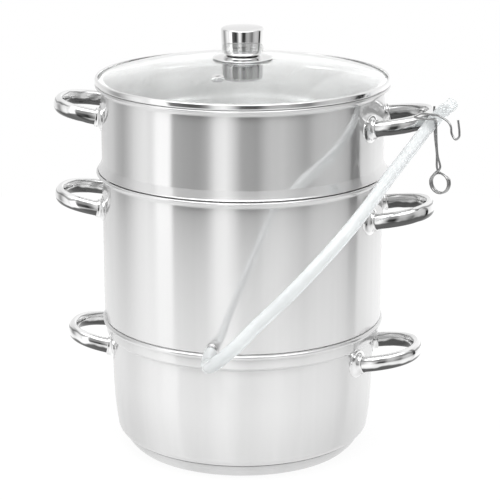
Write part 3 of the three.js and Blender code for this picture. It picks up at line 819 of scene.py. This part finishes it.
def clear_glass(tree):
    wipes = noise(tree, object_place(tree), scale=30.0, stretch=(1, 1, 3), detail=5.0)
    return {
        "Base Color": mixed(tree, wipes, (0.975, 0.99, 0.985, 1), (0.99, 1.0, 0.995, 1)),
        "Roughness": wipes.between(*GLASS_WIPE_SPAN) * 0.03,
        "Transmission Weight": 1.0,
        "IOR": 1.46,
    }


def clear_silicone(tree):
    place = object_place(tree)
    milk = noise(tree, place, scale=60.0)
    dust = noise(tree, place, scale=260.0, detail=2.0)
    return {
        "Base Color": mixed(tree, milk, (0.80, 0.82, 0.83, 1), (0.93, 0.95, 0.95, 1)),
        "Roughness": 0.12 + milk * 0.08 + dust * 0.02,
        "Transmission Weight": 0.62,
        "IOR": 1.41,
        "Normal": bumped(tree, dust, distance=0.00002, strength=0.03),
    }


def washer_rubber(tree):
    dust = noise(tree, object_place(tree), scale=800.0)
    return {
        "Base Color": mixed(tree, dust, (0.74, 0.76, 0.76, 1), (0.84, 0.86, 0.86, 1)),
        "Roughness": 0.45 + dust * 0.15,
        "Normal": bumped(tree, dust, distance=0.00005, strength=0.3),
    }


# Each finish's material and slot
FINISHES = {
    finish: (material(name, paint), slot)
    for finish, name, paint, slot in (
        ("wall", "polished_wall", steel(**WALL_STEEL), "polished_steel"),
        ("base", "satin_base", steel(**BASE_STEEL), "polished_steel"),
        ("trim", "bright_trim", steel(**TRIM_STEEL), "polished_steel"),
        # The basket's inner wall carries broad dark streaks of painted reflection
        ("basket", "polished_basket", steel(**WALL_STEEL, bore=INSIDE_WALL), "polished_steel"),
        ("chrome", "chromed_fitting", chrome, "chrome"),
        # The handles' chrome, with a painted reflection of the dark studio in its colour
        ("grip", "chrome_painted_reflection", chrome_painted_reflection, "chrome"),
        ("wire", "drawn_wire", drawn_wire, "wire"),
        ("core", "cast_core", cast_aluminium, "aluminium"),
        ("glass", "clear_glass", clear_glass, "glass"),
        ("hose", "clear_silicone", clear_silicone, "silicone"),
        ("washer", "washer_rubber", washer_rubber, "silicone"),
    )
}


def dress(piece, finish, body, node):
    """Gives a piece its finish and its body, and hides the CAD node that it stands for."""
    made, slot = FINISHES[finish]
    piece.data.materials.clear()
    piece.data.materials.append(made)
    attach(piece, body)
    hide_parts(node)
    return piece


# Drain hose
hose_line = catmull_rom(HOSE_ROUTE, HOSE_STEPS)


def pinch_frame():
    """The pinched point of the hose, then three directions: the hose's, the clamp's and its side's.

    The clamp's direction is the hose's laid level, and its side's points outward.
    """
    index = round(HOSE_PINCH_SHARE * HOSE_STEPS)
    at = hose_line[index]
    tangent = (hose_line[index + 1] - hose_line[index - 1]).normalized()
    along = Vector((tangent.x, tangent.y, 0)).normalized()
    outward = Vector((along.y, -along.x, 0))
    return at, tangent, along, outward


def squeeze(verts, half_thick, half_wide, radius):
    """Flattens a round tube where the clamp holds it."""
    at, tangent, _, outward = pinch_frame()
    rise = outward.cross(tangent).normalized()
    for vert in verts:
        place = vert.co - at
        past_flat = max(abs(place.dot(tangent)) - HOSE_PINCH_FLAT, 0) / HOSE_PINCH_EASE
        if place.length < 2 * (HOSE_PINCH_FLAT + HOSE_PINCH_EASE) and past_flat < 1:
            amount = (1 + math.cos(math.pi * past_flat)) / 2
            thin = 1 + (half_thick / radius - 1) * amount
            wide = 1 + (half_wide / radius - 1) * amount
            thinned = outward * place.dot(outward) * (thin - 1)
            vert.co += thinned + rise * place.dot(rise) * (wide - 1)


def drain_hose():
    bm = bmesh.new()
    frames = frames_along(hose_line, UP)
    outer_ends = add_tube(bm, frames, HOSE_RADIUS, HOSE_RADIUS, HOSE_SIDES)
    outer_verts = list(bm.verts)
    squeeze(outer_verts, HOSE_PINCH_HALF_THICK, HOSE_PINCH_HALF_WIDE, HOSE_RADIUS)
    inner_ends = add_tube(bm, frames, HOSE_BORE, HOSE_BORE, HOSE_SIDES)
    inner_verts = list(bm.verts)[len(outer_verts):]
    wall = HOSE_RADIUS - HOSE_BORE
    squeeze(inner_verts, HOSE_PINCH_SLIT, HOSE_PINCH_HALF_WIDE - wall, HOSE_BORE)
    for outer, inner in zip(outer_ends, inner_ends):
        bmesh.ops.bridge_loops(bm, edges=list(outer) + list(inner))
    return dress(finished("clear_drain_hose", bm), "hose", "juice_kettle", "drain_hose")


# Hose clamp
def coil_point(turns):
    angle = COIL_START - math.tau * turns
    side = COIL_TURNS * COIL_PITCH / 2 - turns * COIL_PITCH
    reach = Vector((CLAMP_STAND_OFF + COIL_RADIUS * math.cos(angle), side, 0))
    return reach + Vector((0, 0, COIL_RADIUS * math.sin(angle) - CLAMP_REACH))


def placed_shares(shares, side):
    return [Vector(share) * CLAMP_REACH + Vector((0, side, 0)) for share in shares]


def clamp_wire(name, points, body, node):
    at, _, along, outward = pinch_frame()
    turned = Matrix((outward, along, UP)).transposed().to_4x4()
    line = catmull_rom(points, WIRE_STEPS)
    wire = tube(
        name, line, Vector((0, 1, 0)), WIRE_RADIUS, WIRE_RADIUS, WIRE_SIDES,
        placed=Matrix.Translation(at) @ turned,
    )
    return dress(wire, "wire", body, node)


def hose_clamp():
    side = COIL_TURNS * COIL_PITCH / 2
    spring = [
        Vector((-CLAMP_JAW_HALF_GAP, side, SPRING_TIP_SHARE * CLAMP_REACH)),
        Vector((-CLAMP_JAW_HALF_GAP, side, 0)),
        *placed_shares(SPRING_ARM_SHARES, side)[::-1],
    ]
    steps = round(COIL_TURNS * COIL_STEPS_PER_TURN)
    spring += [coil_point(COIL_TURNS * i / steps) for i in range(steps + 1)]
    lever = [
        coil_point(COIL_TURNS + CLAMP_SPLIT_GAP / (math.tau * COIL_RADIUS)),
        *placed_shares(LEVER_ARM_SHARES, -side),
        Vector((CLAMP_JAW_HALF_GAP, -side, 0)),
        *placed_shares(KEEPER_SHARES, -side),
    ]
    return [
        clamp_wire("clamp_coil_and_jaw", spring, "juice_kettle", "clamp_spring"),
        clamp_wire("clamp_jaw_and_hook", lever, "clamp_lever", "clamp_lever"),
    ]


drain_hose()
line_length(hose_line)
hose_clamp()


# Water pot
def pot_outer_line():
    floor_z = BASE_HEIGHT + FIT
    heel_z = floor_z + POT_CORNER
    belly_top = (POT_RADIUS, floor_z + POT_BELLY_HEIGHT)
    belly_middle = (
        (POT_HEEL_RADIUS + POT_RADIUS) / 2 + POT_BELLY_BULGE,
        heel_z + POT_BELLY_HEIGHT / 3,
    )
    collar_r = WALL_RADIUS - FOOT_STEP + FOOT_PLAY + SHEET
    flare_z = POT_HEIGHT - POT_COLLAR_HEIGHT
    collar_z = flare_z + POT_FLARE_HEIGHT
    middle_z = (flare_z + collar_z) / 2
    flare = [
        (POT_RADIUS, flare_z),
        (POT_RADIUS, middle_z),
        (collar_r, middle_z),
        (collar_r, collar_z),
    ]
    return [
        (0, floor_z),
        (POT_HEEL_RADIUS / 2, floor_z),
        *lower_corner(POT_HEEL_RADIUS, floor_z, POT_CORNER, steps=14),
        *bend([(POT_HEEL_RADIUS, heel_z), belly_middle, belly_top], steps=24)[1:],
        *bend(flare, steps=16),
        (collar_r, POT_HEIGHT - 2 * POT_BEAD),
    ]


def pot_profile():
    outer = pot_outer_line()
    bead_r = outer[-1][0] - SHEET / 2 + POT_BEAD / 2
    return shell(outer, arc(bead_r, POT_HEIGHT - POT_BEAD, POT_BEAD, -70, 130, steps=20))


def base_profile():
    middle_r = (BASE_FOOT_RADIUS + BASE_RIM_RADIUS) / 2
    edge = (
        middle_r + (BASE_RIM_RADIUS - middle_r) * BASE_ROUND_SHARE,
        BASE_HEIGHT * (1 - BASE_ROUND_SHARE),
    )
    outer = [(0, 0), *bend([(BASE_FOOT_RADIUS, 0), edge, (BASE_RIM_RADIUS, BASE_HEIGHT)], steps=16)]
    return shell(outer, [])


# Kettle, funnel and basket
def flared_rim(top_z):
    """The flare of a wall's top, and the rolled bead that it ends in."""
    bead_r = WALL_RADIUS + RIM_OVERHANG - RIM_BEAD
    bead_z = top_z - RIM_BEAD
    foot = (WALL_RADIUS, top_z - RIM_FLARE)
    join = arc(bead_r, bead_z, RIM_BEAD, RIM_JOIN, RIM_JOIN, steps=1)[0]
    flare = bend([foot, (WALL_RADIUS, top_z - RIM_FLARE * RIM_FLARE_SHARE), join], steps=14)
    return flare[:-1], arc(bead_r, bead_z, RIM_BEAD, *RIM_BEAD_ARC, steps=28)


def kettle_profile():
    foot_r = WALL_RADIUS - FOOT_STEP
    floor_z = KETTLE_Z - KETTLE_FOOT
    flare, bead = flared_rim(KETTLE_Z + KETTLE_HEIGHT)
    outer = [
        (FUNNEL_BASE_RADIUS + SHEET, floor_z),
        *lower_corner(foot_r, floor_z, FOOT_CORNER, steps=10),
        (foot_r, KETTLE_Z),
        *lower_corner(WALL_RADIUS, KETTLE_Z, KETTLE_SHOULDER, steps=10),
        *flare,
    ]
    return shell(outer, bead)


def funnel_profile():
    floor_top = KETTLE_Z - KETTLE_FOOT + SHEET + FIT
    top_z = floor_top + FUNNEL_HEIGHT
    bend_out, bend_up = FUNNEL_FOOT_BEND
    foot = [
        (FUNNEL_BASE_RADIUS + bend_out, floor_top + SHEET),
        (FUNNEL_BASE_RADIUS + SHEET, floor_top + SHEET),
        (FUNNEL_BASE_RADIUS + SHEET * 0.6, floor_top + bend_up),
    ]
    return [
        (FUNNEL_BASE_RADIUS + FUNNEL_FLANGE, floor_top + SHEET),
        *bend(foot, steps=6),
        (FUNNEL_TOP_RADIUS, top_z),
        *arc(FUNNEL_TOP_RADIUS, top_z + FUNNEL_LIP, FUNNEL_LIP, -60, 200, steps=16),
        (FUNNEL_TOP_RADIUS - SHEET, top_z),
        (FUNNEL_BASE_RADIUS, floor_top),
        (FUNNEL_BASE_RADIUS + FUNNEL_FLANGE, floor_top),
    ]


def basket_profile():
    """Outside, the wall's foot flares into a collar over a stop bead; the inside is plain."""
    foot_r = WALL_RADIUS - FOOT_STEP
    floor_z = BASKET_Z - BASKET_FOOT
    stop_r = WALL_RADIUS + FIT - STOP_BEAD
    stop_z = BASKET_Z - STOP_DROP
    lip_r = WALL_RADIUS + COLLAR_REACH - COLLAR_LIP
    lip_z = BASKET_Z + COLLAR_PLAY + COLLAR_LIP
    flare, bead = flared_rim(BASKET_Z + BASKET_HEIGHT)
    foot = [
        (0, floor_z),
        *lower_corner(foot_r, floor_z, FOOT_CORNER, steps=10),
        (foot_r, stop_z - STOP_BEAD),
    ]
    collar_z = BASKET_Z + COLLAR_HEIGHT
    sweep = [
        (lip_r + COLLAR_LIP / 2, lip_z + COLLAR_LIP),
        (WALL_RADIUS, collar_z - COLLAR_HEIGHT / 12),
        (WALL_RADIUS, collar_z),
    ]
    collar = [
        *arc(stop_r, stop_z, STOP_BEAD, -60, 60, steps=10),
        (foot_r, lip_z - COLLAR_LIP),
        *arc(lip_r, lip_z, COLLAR_LIP, -90, 40, steps=8),
        *bend(sweep, steps=16),
    ]
    plain = [*foot, (foot_r, BASKET_Z), (WALL_RADIUS, BASKET_Z + FOOT_STEP), *flare]
    return foot + collar + flare + bead + inset(plain, SHEET)[::-1]


def floor_holes():
    """One mesh of all the holes in the basket's floor."""
    bm = bmesh.new()
    floor_z = BASKET_Z - BASKET_FOOT + SHEET / 2
    for ring in range(HOLE_RINGS + 1):
        out = ring * HOLE_RING_PITCH
        count = max(ring * HOLES_PER_STEP, 1)
        for i in range(count):
            angle = math.tau * i / count
            place = Matrix.Translation((out * math.cos(angle), out * math.sin(angle), floor_z))
            bmesh.ops.create_cone(
                bm, cap_ends=True, segments=HOLE_SIDES, depth=SHEET * 4, matrix=place,
                radius1=HOLE_RADIUS, radius2=HOLE_RADIUS,
            )
    return bm


# Drain spout
def drain_spout():
    inner = -SPOUT_INSET - SHEET
    collar = 2 * FIT + SPOUT_COLLAR_RADIUS * math.tan(SPOUT_DROP)
    collar_end = collar + SPOUT_COLLAR_THICK
    ridge = collar_end + SPOUT_RIDGE_GAP
    ridge_end = ridge + SPOUT_COLLAR_THICK / 2
    soft = SHEET / 3
    profile = [
        (SPOUT_BORE, inner),
        (SPOUT_RADIUS, inner),
        (SPOUT_RADIUS, collar),
        *rounded_edge(SPOUT_COLLAR_RADIUS, collar, collar_end, soft),
        (SPOUT_RADIUS, collar_end),
        (SPOUT_RADIUS, ridge),
        (SPOUT_RIDGE_RADIUS, ridge_end - soft),
        (SPOUT_RIDGE_RADIUS, ridge_end),
        (SPOUT_RADIUS, ridge_end),
        *upper_corner(SPOUT_RADIUS, SPOUT_LENGTH, soft),
        (SPOUT_BORE, SPOUT_LENGTH),
    ]
    place = (
        Matrix.Rotation(SPOUT_TURN, 4, "Z")
        @ Matrix.Translation((0, -WALL_RADIUS, SPOUT_Z))
        @ Matrix.Rotation(math.pi / 2 + SPOUT_DROP, 4, "X")
    )
    dress(lathe("spout", profile, SMALL_SIDES, place), "trim", "juice_kettle", "drain_spout")


# Handles and the cups that hold them
def wall_depth(radius, across):
    return math.sqrt(radius * radius - across * across)


def handle_line(radius, reach):
    """The middle of the handle's tube, for a handle along +X."""
    neck = wall_depth(radius, HANDLE_HALF_SPAN) + CUP_LENGTH
    root = neck - SOCKET_DEPTH + FIT
    depth = reach - HANDLE_THICK / 2 - neck
    line = [Vector((root, -HANDLE_HALF_SPAN, 0))]
    power = 2 / HANDLE_SQUARENESS
    for i in range(HANDLE_BEND_STEPS + 1):
        angle = -math.pi / 2 + math.pi * i / HANDLE_BEND_STEPS
        out = max(math.cos(angle), 0) ** power
        along = math.copysign(abs(math.sin(angle)) ** power, angle)
        line.append(Vector((neck + depth * out, HANDLE_HALF_SPAN * along, 0)))
    line.append(Vector((root, HANDLE_HALF_SPAN, 0)))
    return evenly(line, HANDLE_STEPS)


def cup_point(seat, side, angle, shift, along, wide, tall):
    """A point of a cup's ring: the foot hugs the wall and the neck leans with the handle.

    A seat is the wall's radius and the lean; along runs from 0 at the foot to 1 at the lip.
    """
    radius, lean = seat
    across = side * HANDLE_HALF_SPAN + math.cos(angle) * wide
    stand = CUP_EDGE + (CUP_LENGTH - CUP_EDGE) * along**CUP_REACH_POWER + shift
    out = wall_depth(radius, across) + stand - radius
    up = math.sin(angle) * tall
    turned = lean * along
    return Vector((
        radius + out * math.cos(turned) - up * math.sin(turned),
        across,
        out * math.sin(turned) + up * math.cos(turned),
    ))


def cup_rings():
    """Shift, along, width and height of each ring, from the foot to the lip and into the socket."""
    neck_wide = HANDLE_THICK / 2 + FIT + SOCKET_WALL
    neck_tall = HANDLE_TALL / 2 + FIT + SOCKET_WALL
    rings = [(-CUP_EDGE, 0, CUP_WIDE / 2, CUP_TALL / 2)]
    for i in range(CUP_STEPS + 1):
        along = i / CUP_STEPS
        flare = (1 - along) ** CUP_FLARE_POWER
        wide = neck_wide + (CUP_WIDE / 2 - neck_wide) * flare
        tall = neck_tall + (CUP_TALL / 2 - neck_tall) * flare
        rings.append((0, along, wide, tall))
    lip = SOCKET_WALL / 3
    bore_wide = HANDLE_THICK / 2 + FIT / 2
    bore_tall = HANDLE_TALL / 2 + FIT / 2
    return rings + [
        (lip, 1, neck_wide - lip, neck_tall - lip),
        (lip, 1, bore_wide + lip, bore_tall + lip),
        (0, 1, bore_wide, bore_tall),
        (-SOCKET_DEPTH, 1, bore_wide, bore_tall),
    ]


def cup_mesh(seat, side):
    bm = bmesh.new()
    loops = []
    for ring in cup_rings():
        verts = bmesh.ops.create_circle(bm, cap_ends=False, radius=1, segments=SMALL_SIDES)["verts"]
        for vert in verts:
            vert.co = cup_point(seat, side, math.atan2(vert.co.y, vert.co.x), *ring)
        loops.append(ring_edges(verts))
    for near, far in zip(loops, loops[1:]):
        bmesh.ops.bridge_loops(bm, edges=near + far)
    close_ends(bm, (loops[0], loops[-1]))
    return bm


def handles(tier, body, radius, reach, root_z, turn):
    """A tier's two handles, each a leaning loop in two cups."""
    lean = math.asin(HANDLE_RISE / (reach - radius))
    raised = Matrix.Translation((0, 0, root_z))
    leaned = (
        raised
        @ Matrix.Translation((radius, 0, 0))
        @ Matrix.Rotation(-lean, 4, "Y")
        @ Matrix.Translation((-radius, 0, 0))
    )
    for side, half_turn in (("right", 0.0), ("left", math.pi)):
        turned = Matrix.Rotation(math.radians(turn) + half_turn, 4, "Z")
        loop = tube(
            f"{tier}_grip_{side}", handle_line(radius, reach), UP,
            HANDLE_THICK / 2, HANDLE_TALL / 2, HANDLE_SIDES, placed=turned @ leaned,
        )
        mark_facing_down(loop)
        dress(loop, "grip", body, f"{tier}_handle_{side}")
        for place, across in (("rear", 1), ("front", -1)):
            mesh = cup_mesh((radius, lean), across)
            cup = finished(f"{tier}_cup_{side}_{place}", mesh, turned @ raised)
            dress(cup, "chrome", body, f"{tier}_handle_{side}_mount_{place}")


# Lid
GLASS_EDGE_RADIUS = BAND_RADIUS - SHEET - FIT
GLASS_EDGE_Z = LID_Z + SHEET + FIT
GLASS_FLAT_RADIUS = BAND_RADIUS - BAND_LIP - FIT
DOME_SPHERE = (GLASS_FLAT_RADIUS**2 + GLASS_RISE**2) / (2 * GLASS_RISE)


def dome_z(distance):
    """Height of the glass dome's upper face."""
    apex = GLASS_EDGE_Z + GLASS_THICK + GLASS_RISE
    return apex - DOME_SPHERE + math.sqrt(DOME_SPHERE**2 - distance**2)


SCREW_HOLE = SCREW_RADIUS + FIT
KNOB_Z = dome_z(0) + 2 * FIT + CAP_RISE
WASHER_TOP_Z = dome_z(WASHER_RADIUS) - GLASS_THICK - FIT


def glass_profile():
    reach = SCREW_HOLE - GLASS_FLAT_RADIUS
    distances = [GLASS_FLAT_RADIUS + reach * i / DOME_STEPS for i in range(DOME_STEPS + 1)]
    upper = [(distance, dome_z(distance)) for distance in distances]
    lower = [(r, z - GLASS_THICK) for r, z in upper][::-1]
    top_z = GLASS_EDGE_Z + GLASS_THICK
    return lower + rounded_edge(GLASS_EDGE_RADIUS, GLASS_EDGE_Z, top_z, GLASS_THICK / 4) + upper


def band_profile():
    skirt_outer = WALL_RADIUS - SHEET - SKIRT_PLAY
    skirt_inner = skirt_outer - SHEET
    inner = BAND_RADIUS - BAND_LIP
    lip_z = GLASS_EDGE_Z + GLASS_THICK + FIT
    top_z = LID_Z + BAND_HEIGHT
    return [
        (skirt_inner, LID_Z - SKIRT_DEPTH),
        (skirt_outer, LID_Z - SKIRT_DEPTH),
        (skirt_outer, LID_Z),
        *rounded_edge(BAND_RADIUS, LID_Z, top_z, BAND_ROUND, steps=8),
        *arc(inner + SHEET / 2, top_z - SHEET / 2, SHEET / 2, 90, 180, steps=6),
        (inner, lip_z),
        (GLASS_EDGE_RADIUS + FIT, lip_z),
        (GLASS_EDGE_RADIUS + FIT, LID_Z + SHEET),
        (skirt_inner, LID_Z + SHEET),
    ]


def grommet_profile():
    outer = VENT_RADIUS - FIT
    bore = outer - GROMMET_LIP
    flange = VENT_RADIUS + GROMMET_FLANGE
    foot = GLASS_THICK / 2 + FIT
    face = foot + GROMMET_LIP
    soft = GROMMET_LIP / 2
    return [
        *arc(bore + soft, -face + soft, soft, 180, 270, steps=4),
        *lower_corner(flange, -face, soft),
        (flange, -foot),
        (outer, -foot),
        (outer, foot),
        (flange, foot),
        *upper_corner(flange, face, soft, steps=5),
        *arc(bore + soft, face - soft, soft, 90, 180, steps=5),
    ]


def knob_profile():
    crown_z = KNOB_Z + KNOB_HEIGHT
    top_z = crown_z - KNOB_CROWN
    flare = (KNOB_WAIST_RADIUS - KNOB_FOOT_RADIUS) * KNOB_HEEL_SHARE
    heel = [
        (KNOB_FOOT_RADIUS, KNOB_Z),
        (KNOB_FOOT_RADIUS + flare, KNOB_Z + SHEET / 2),
        (KNOB_WAIST_RADIUS - SHEET / 2, KNOB_Z + KNOB_HEEL * KNOB_HEEL_SHARE),
        (KNOB_WAIST_RADIUS, KNOB_Z + KNOB_HEEL),
    ]
    side_top = (KNOB_TOP_RADIUS, top_z - KNOB_TOP_ROUND)
    top_edge = (KNOB_TOP_RADIUS - KNOB_TOP_ROUND, top_z)
    return [
        (0, KNOB_Z),
        (KNOB_FOOT_RADIUS - KNOB_EDGE, KNOB_Z),
        *bend(heel, steps=14)[1:],
        *bend([side_top, (KNOB_TOP_RADIUS, top_z - KNOB_EDGE), top_edge], steps=12),
        *bend([top_edge, (KNOB_TOP_RADIUS / 2, crown_z), (0, crown_z)], steps=12)[1:],
    ]


def cap_profile():
    foot_z = dome_z(CAP_RADIUS) + FIT
    top_z = dome_z(0) + FIT + CAP_RISE
    rise = [
        (CAP_RADIUS, foot_z + SHEET),
        (CAP_WAIST_RADIUS, top_z - CAP_RISE / 3),
        (KNOB_FOOT_RADIUS, top_z),
    ]
    return [
        (SCREW_HOLE, dome_z(SCREW_HOLE) + FIT),
        (CAP_RADIUS - SHEET / 2, foot_z),
        *arc(CAP_RADIUS - SHEET / 2, foot_z + SHEET / 2, SHEET / 2, -90, 60, steps=6),
        *bend(rise, steps=20)[1:],
        (SCREW_HOLE, top_z),
    ]


def washer_profile():
    foot_z = WASHER_TOP_Z - WASHER_THICK
    return [
        (SCREW_HOLE, foot_z),
        *rounded_edge(WASHER_RADIUS, foot_z, WASHER_TOP_Z, WASHER_THICK / 3),
        (SCREW_HOLE, WASHER_TOP_Z),
    ]


def screw_profile():
    head_top = WASHER_TOP_Z - WASHER_THICK - FIT
    head_foot = head_top - SCREW_HEAD_HEIGHT
    tip_z = KNOB_Z + SCREW_GRIP - FIT
    return [
        (0, head_foot),
        *lower_corner(SCREW_HEAD_RADIUS, head_foot, SCREW_HEAD_HEIGHT / 2, steps=6),
        (SCREW_HEAD_RADIUS, head_top),
        (SCREW_RADIUS, head_top),
        (SCREW_RADIUS, tip_z),
        (0, tip_z),
    ]


def vent_place():
    turn = Matrix.Rotation(-math.pi / 2 + math.radians(VENT_TURN), 4, "Z")
    out = Matrix.Translation((VENT_DISTANCE, 0, dome_z(VENT_DISTANCE) - GLASS_THICK / 2))
    return turn @ out @ Matrix.Rotation(math.asin(VENT_DISTANCE / DOME_SPHERE), 4, "Y")


def lid():
    dress(lathe("glass_dome", glass_profile()), "glass", "lid", "lid_glass")
    dress(lathe("lid_rim", band_profile()), "trim", "lid", "lid_band")
    eyelet = lathe("vent_eyelet", grommet_profile(), SMALL_SIDES, vent_place())
    dress(eyelet, "trim", "lid", "vent_grommet")
    dress(lathe("knob", knob_profile(), FINE_SIDES), "chrome", "lid", "lid_knob")
    dress(lathe("knob_cap", cap_profile(), FINE_SIDES), "chrome", "lid", "knob_escutcheon")
    dress(lathe("washer", washer_profile(), SMALL_SIDES), "washer", "lid", "knob_washer")
    dress(lathe("screw", screw_profile(), SMALL_SIDES), "trim", "lid", "knob_screw")


def tiers():
    dress(lathe("pot_shell", pot_profile()), "wall", "water_pot", "water_pot_body")
    dress(lathe("base_cup", base_profile()), "base", "water_pot", "base_capsule")
    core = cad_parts["base_core"]
    core.data.materials.clear()
    core.data.materials.append(FINISHES["core"][0])
    dress(lathe("kettle_shell", kettle_profile()), "wall", "juice_kettle", "juice_kettle_body")
    dress(lathe("funnel", funnel_profile(), FINE_SIDES), "wall", "juice_kettle", "steam_funnel")
    basket = lathe("basket_shell", basket_profile())
    cut(basket, floor_holes())
    dress(basket, "basket", "fruit_basket", "fruit_basket_body")


tiers()
drain_spout()
handles("pot", "water_pot", POT_RADIUS, POT_REACH, POT_HANDLE_Z, POT_TURN)
handles("kettle", "juice_kettle", WALL_RADIUS, UPPER_REACH, KETTLE_HANDLE_Z, KETTLE_TURN)
handles("basket", "fruit_basket", WALL_RADIUS, UPPER_REACH, BASKET_HANDLE_Z, BASKET_TURN)
lid()


# Studio: a round white table, soft lamps and a pale room
def table_white(tree):
    """Nearly white to the camera, white through glass, and a fading disc of light in the steel,
    with painted shade round the tiers' foot.
    """
    vector_length = {"operation": "LENGTH"}
    out = add_node(tree, "ShaderNodeVectorMath", vector_length, {0: object_place(tree)}, "Value")
    near = (1.0 - out / FLOOR_RADIUS).clamped() ** TABLE_FADE
    direct = ray(tree, "Camera") * TABLE_GLOW + ray(tree, "Transmission")
    seen = shader_mix(tree, direct, principled(tree), emission(tree, 1.0))
    # Lower gleam near the middle: painted shade round the tiers' foot
    gleam_with_painted_shade = (out.between(*TABLE_PAINTED_SHADE_SPAN) * (1.0 - TABLE_PAINTED_SHADE) + TABLE_PAINTED_SHADE) * TABLE_GLEAM
    gone = add_node(tree, "ShaderNodeBsdfTransparent", {}, {})
    mirrored = shader_mix(tree, near, gone, emission(tree, gleam_with_painted_shade))
    show(tree, shader_mix(tree, ray(tree, "Glossy"), seen, mirrored))
    return {
        "Base Color": grey(TABLE_GREY),
        "Roughness": TABLE_ROUGHNESS,
        "Specular IOR Level": 0.0,
    }


def floor():
    bm = bmesh.new()
    bmesh.ops.create_circle(bm, cap_ends=True, radius=FLOOR_RADIUS, segments=RING_SIDES)
    table = finished("table_top", bm)
    table.data.materials.append(material("table_white", table_white))


def room():
    """Bands of light and dark round the horizon in the steel, plain white to the camera."""
    world = bpy.data.worlds.new("room")
    bpy.context.scene.world = world
    world.use_nodes = True
    tree = world.node_tree
    x, y, z = axes(tree, add_node(tree, "ShaderNodeTexCoord", {}, {}, "Generated"))
    turn = x.maths("ARCTAN2", x, y * -1.0) / math.tau + 0.5
    stops = [(0.5 + azimuth / 360, grey(level)) for azimuth, level in ROOM_BANDS]
    bands = add_node(tree, "ShaderNodeValToRGB", {"stops": stops}, {"Fac": turn}, "Color")
    above = z.between(*ROOM_OVERHEAD_SPAN)
    zenith = z.between(*ROOM_ZENITH_SPAN)

    calm = mixed(tree, z.between(*ROOM_CALM_SPAN) * ROOM_CALM, bands, grey(ROOM_CALM_LEVEL))
    front = y.between(*ROOM_FRONT_SPAN)
    overhead = mixed(tree, front, grey(ROOM_FRONT_LIGHT), grey(ROOM_CEILING))
    overhead = mixed(tree, zenith, overhead, grey(ROOM_ZENITH))
    shown = mixed(tree, above, calm, overhead)

    scaled = {0: bands, "Scale": ROOM_INSIDE_LID}
    strong = add_node(tree, "ShaderNodeVectorMath", {"operation": "SCALE"}, scaled)
    strong = mixed(tree, above, strong, grey(ROOM_INSIDE_LID))
    strong = mixed(tree, zenith, strong, grey(ROOM_ZENITH_INSIDE))
    through = mixed(tree, z.between(*ROOM_THROUGH_SPAN), grey(WHITE), strong)

    for kind, seen in (
        ("Transmission", through),
        ("Diffuse", grey(ROOM_SOFT_LIGHT)),
        ("Camera", grey(WHITE)),
    ):
        shown = mixed(tree, ray(tree, kind), shown, seen)
    fill(tree, tree.nodes["Background"].inputs["Color"], shown)


def lamp(name, place, size, power):
    light = bpy.data.lights.new(name, "AREA")
    light.shape = "RECTANGLE"
    light.size, light.size_y = size
    light.energy = power
    holder = bpy.data.objects.new(name, light)
    bpy.context.scene.collection.objects.link(holder)
    holder.location = place
    holder.visible_glossy = False
    aim = LAMP_AIM - Vector(place)
    holder.rotation_euler = aim.to_track_quat("-Z", "Y").to_euler()


floor()
room()
for settings in LAMPS:
    lamp(*settings)
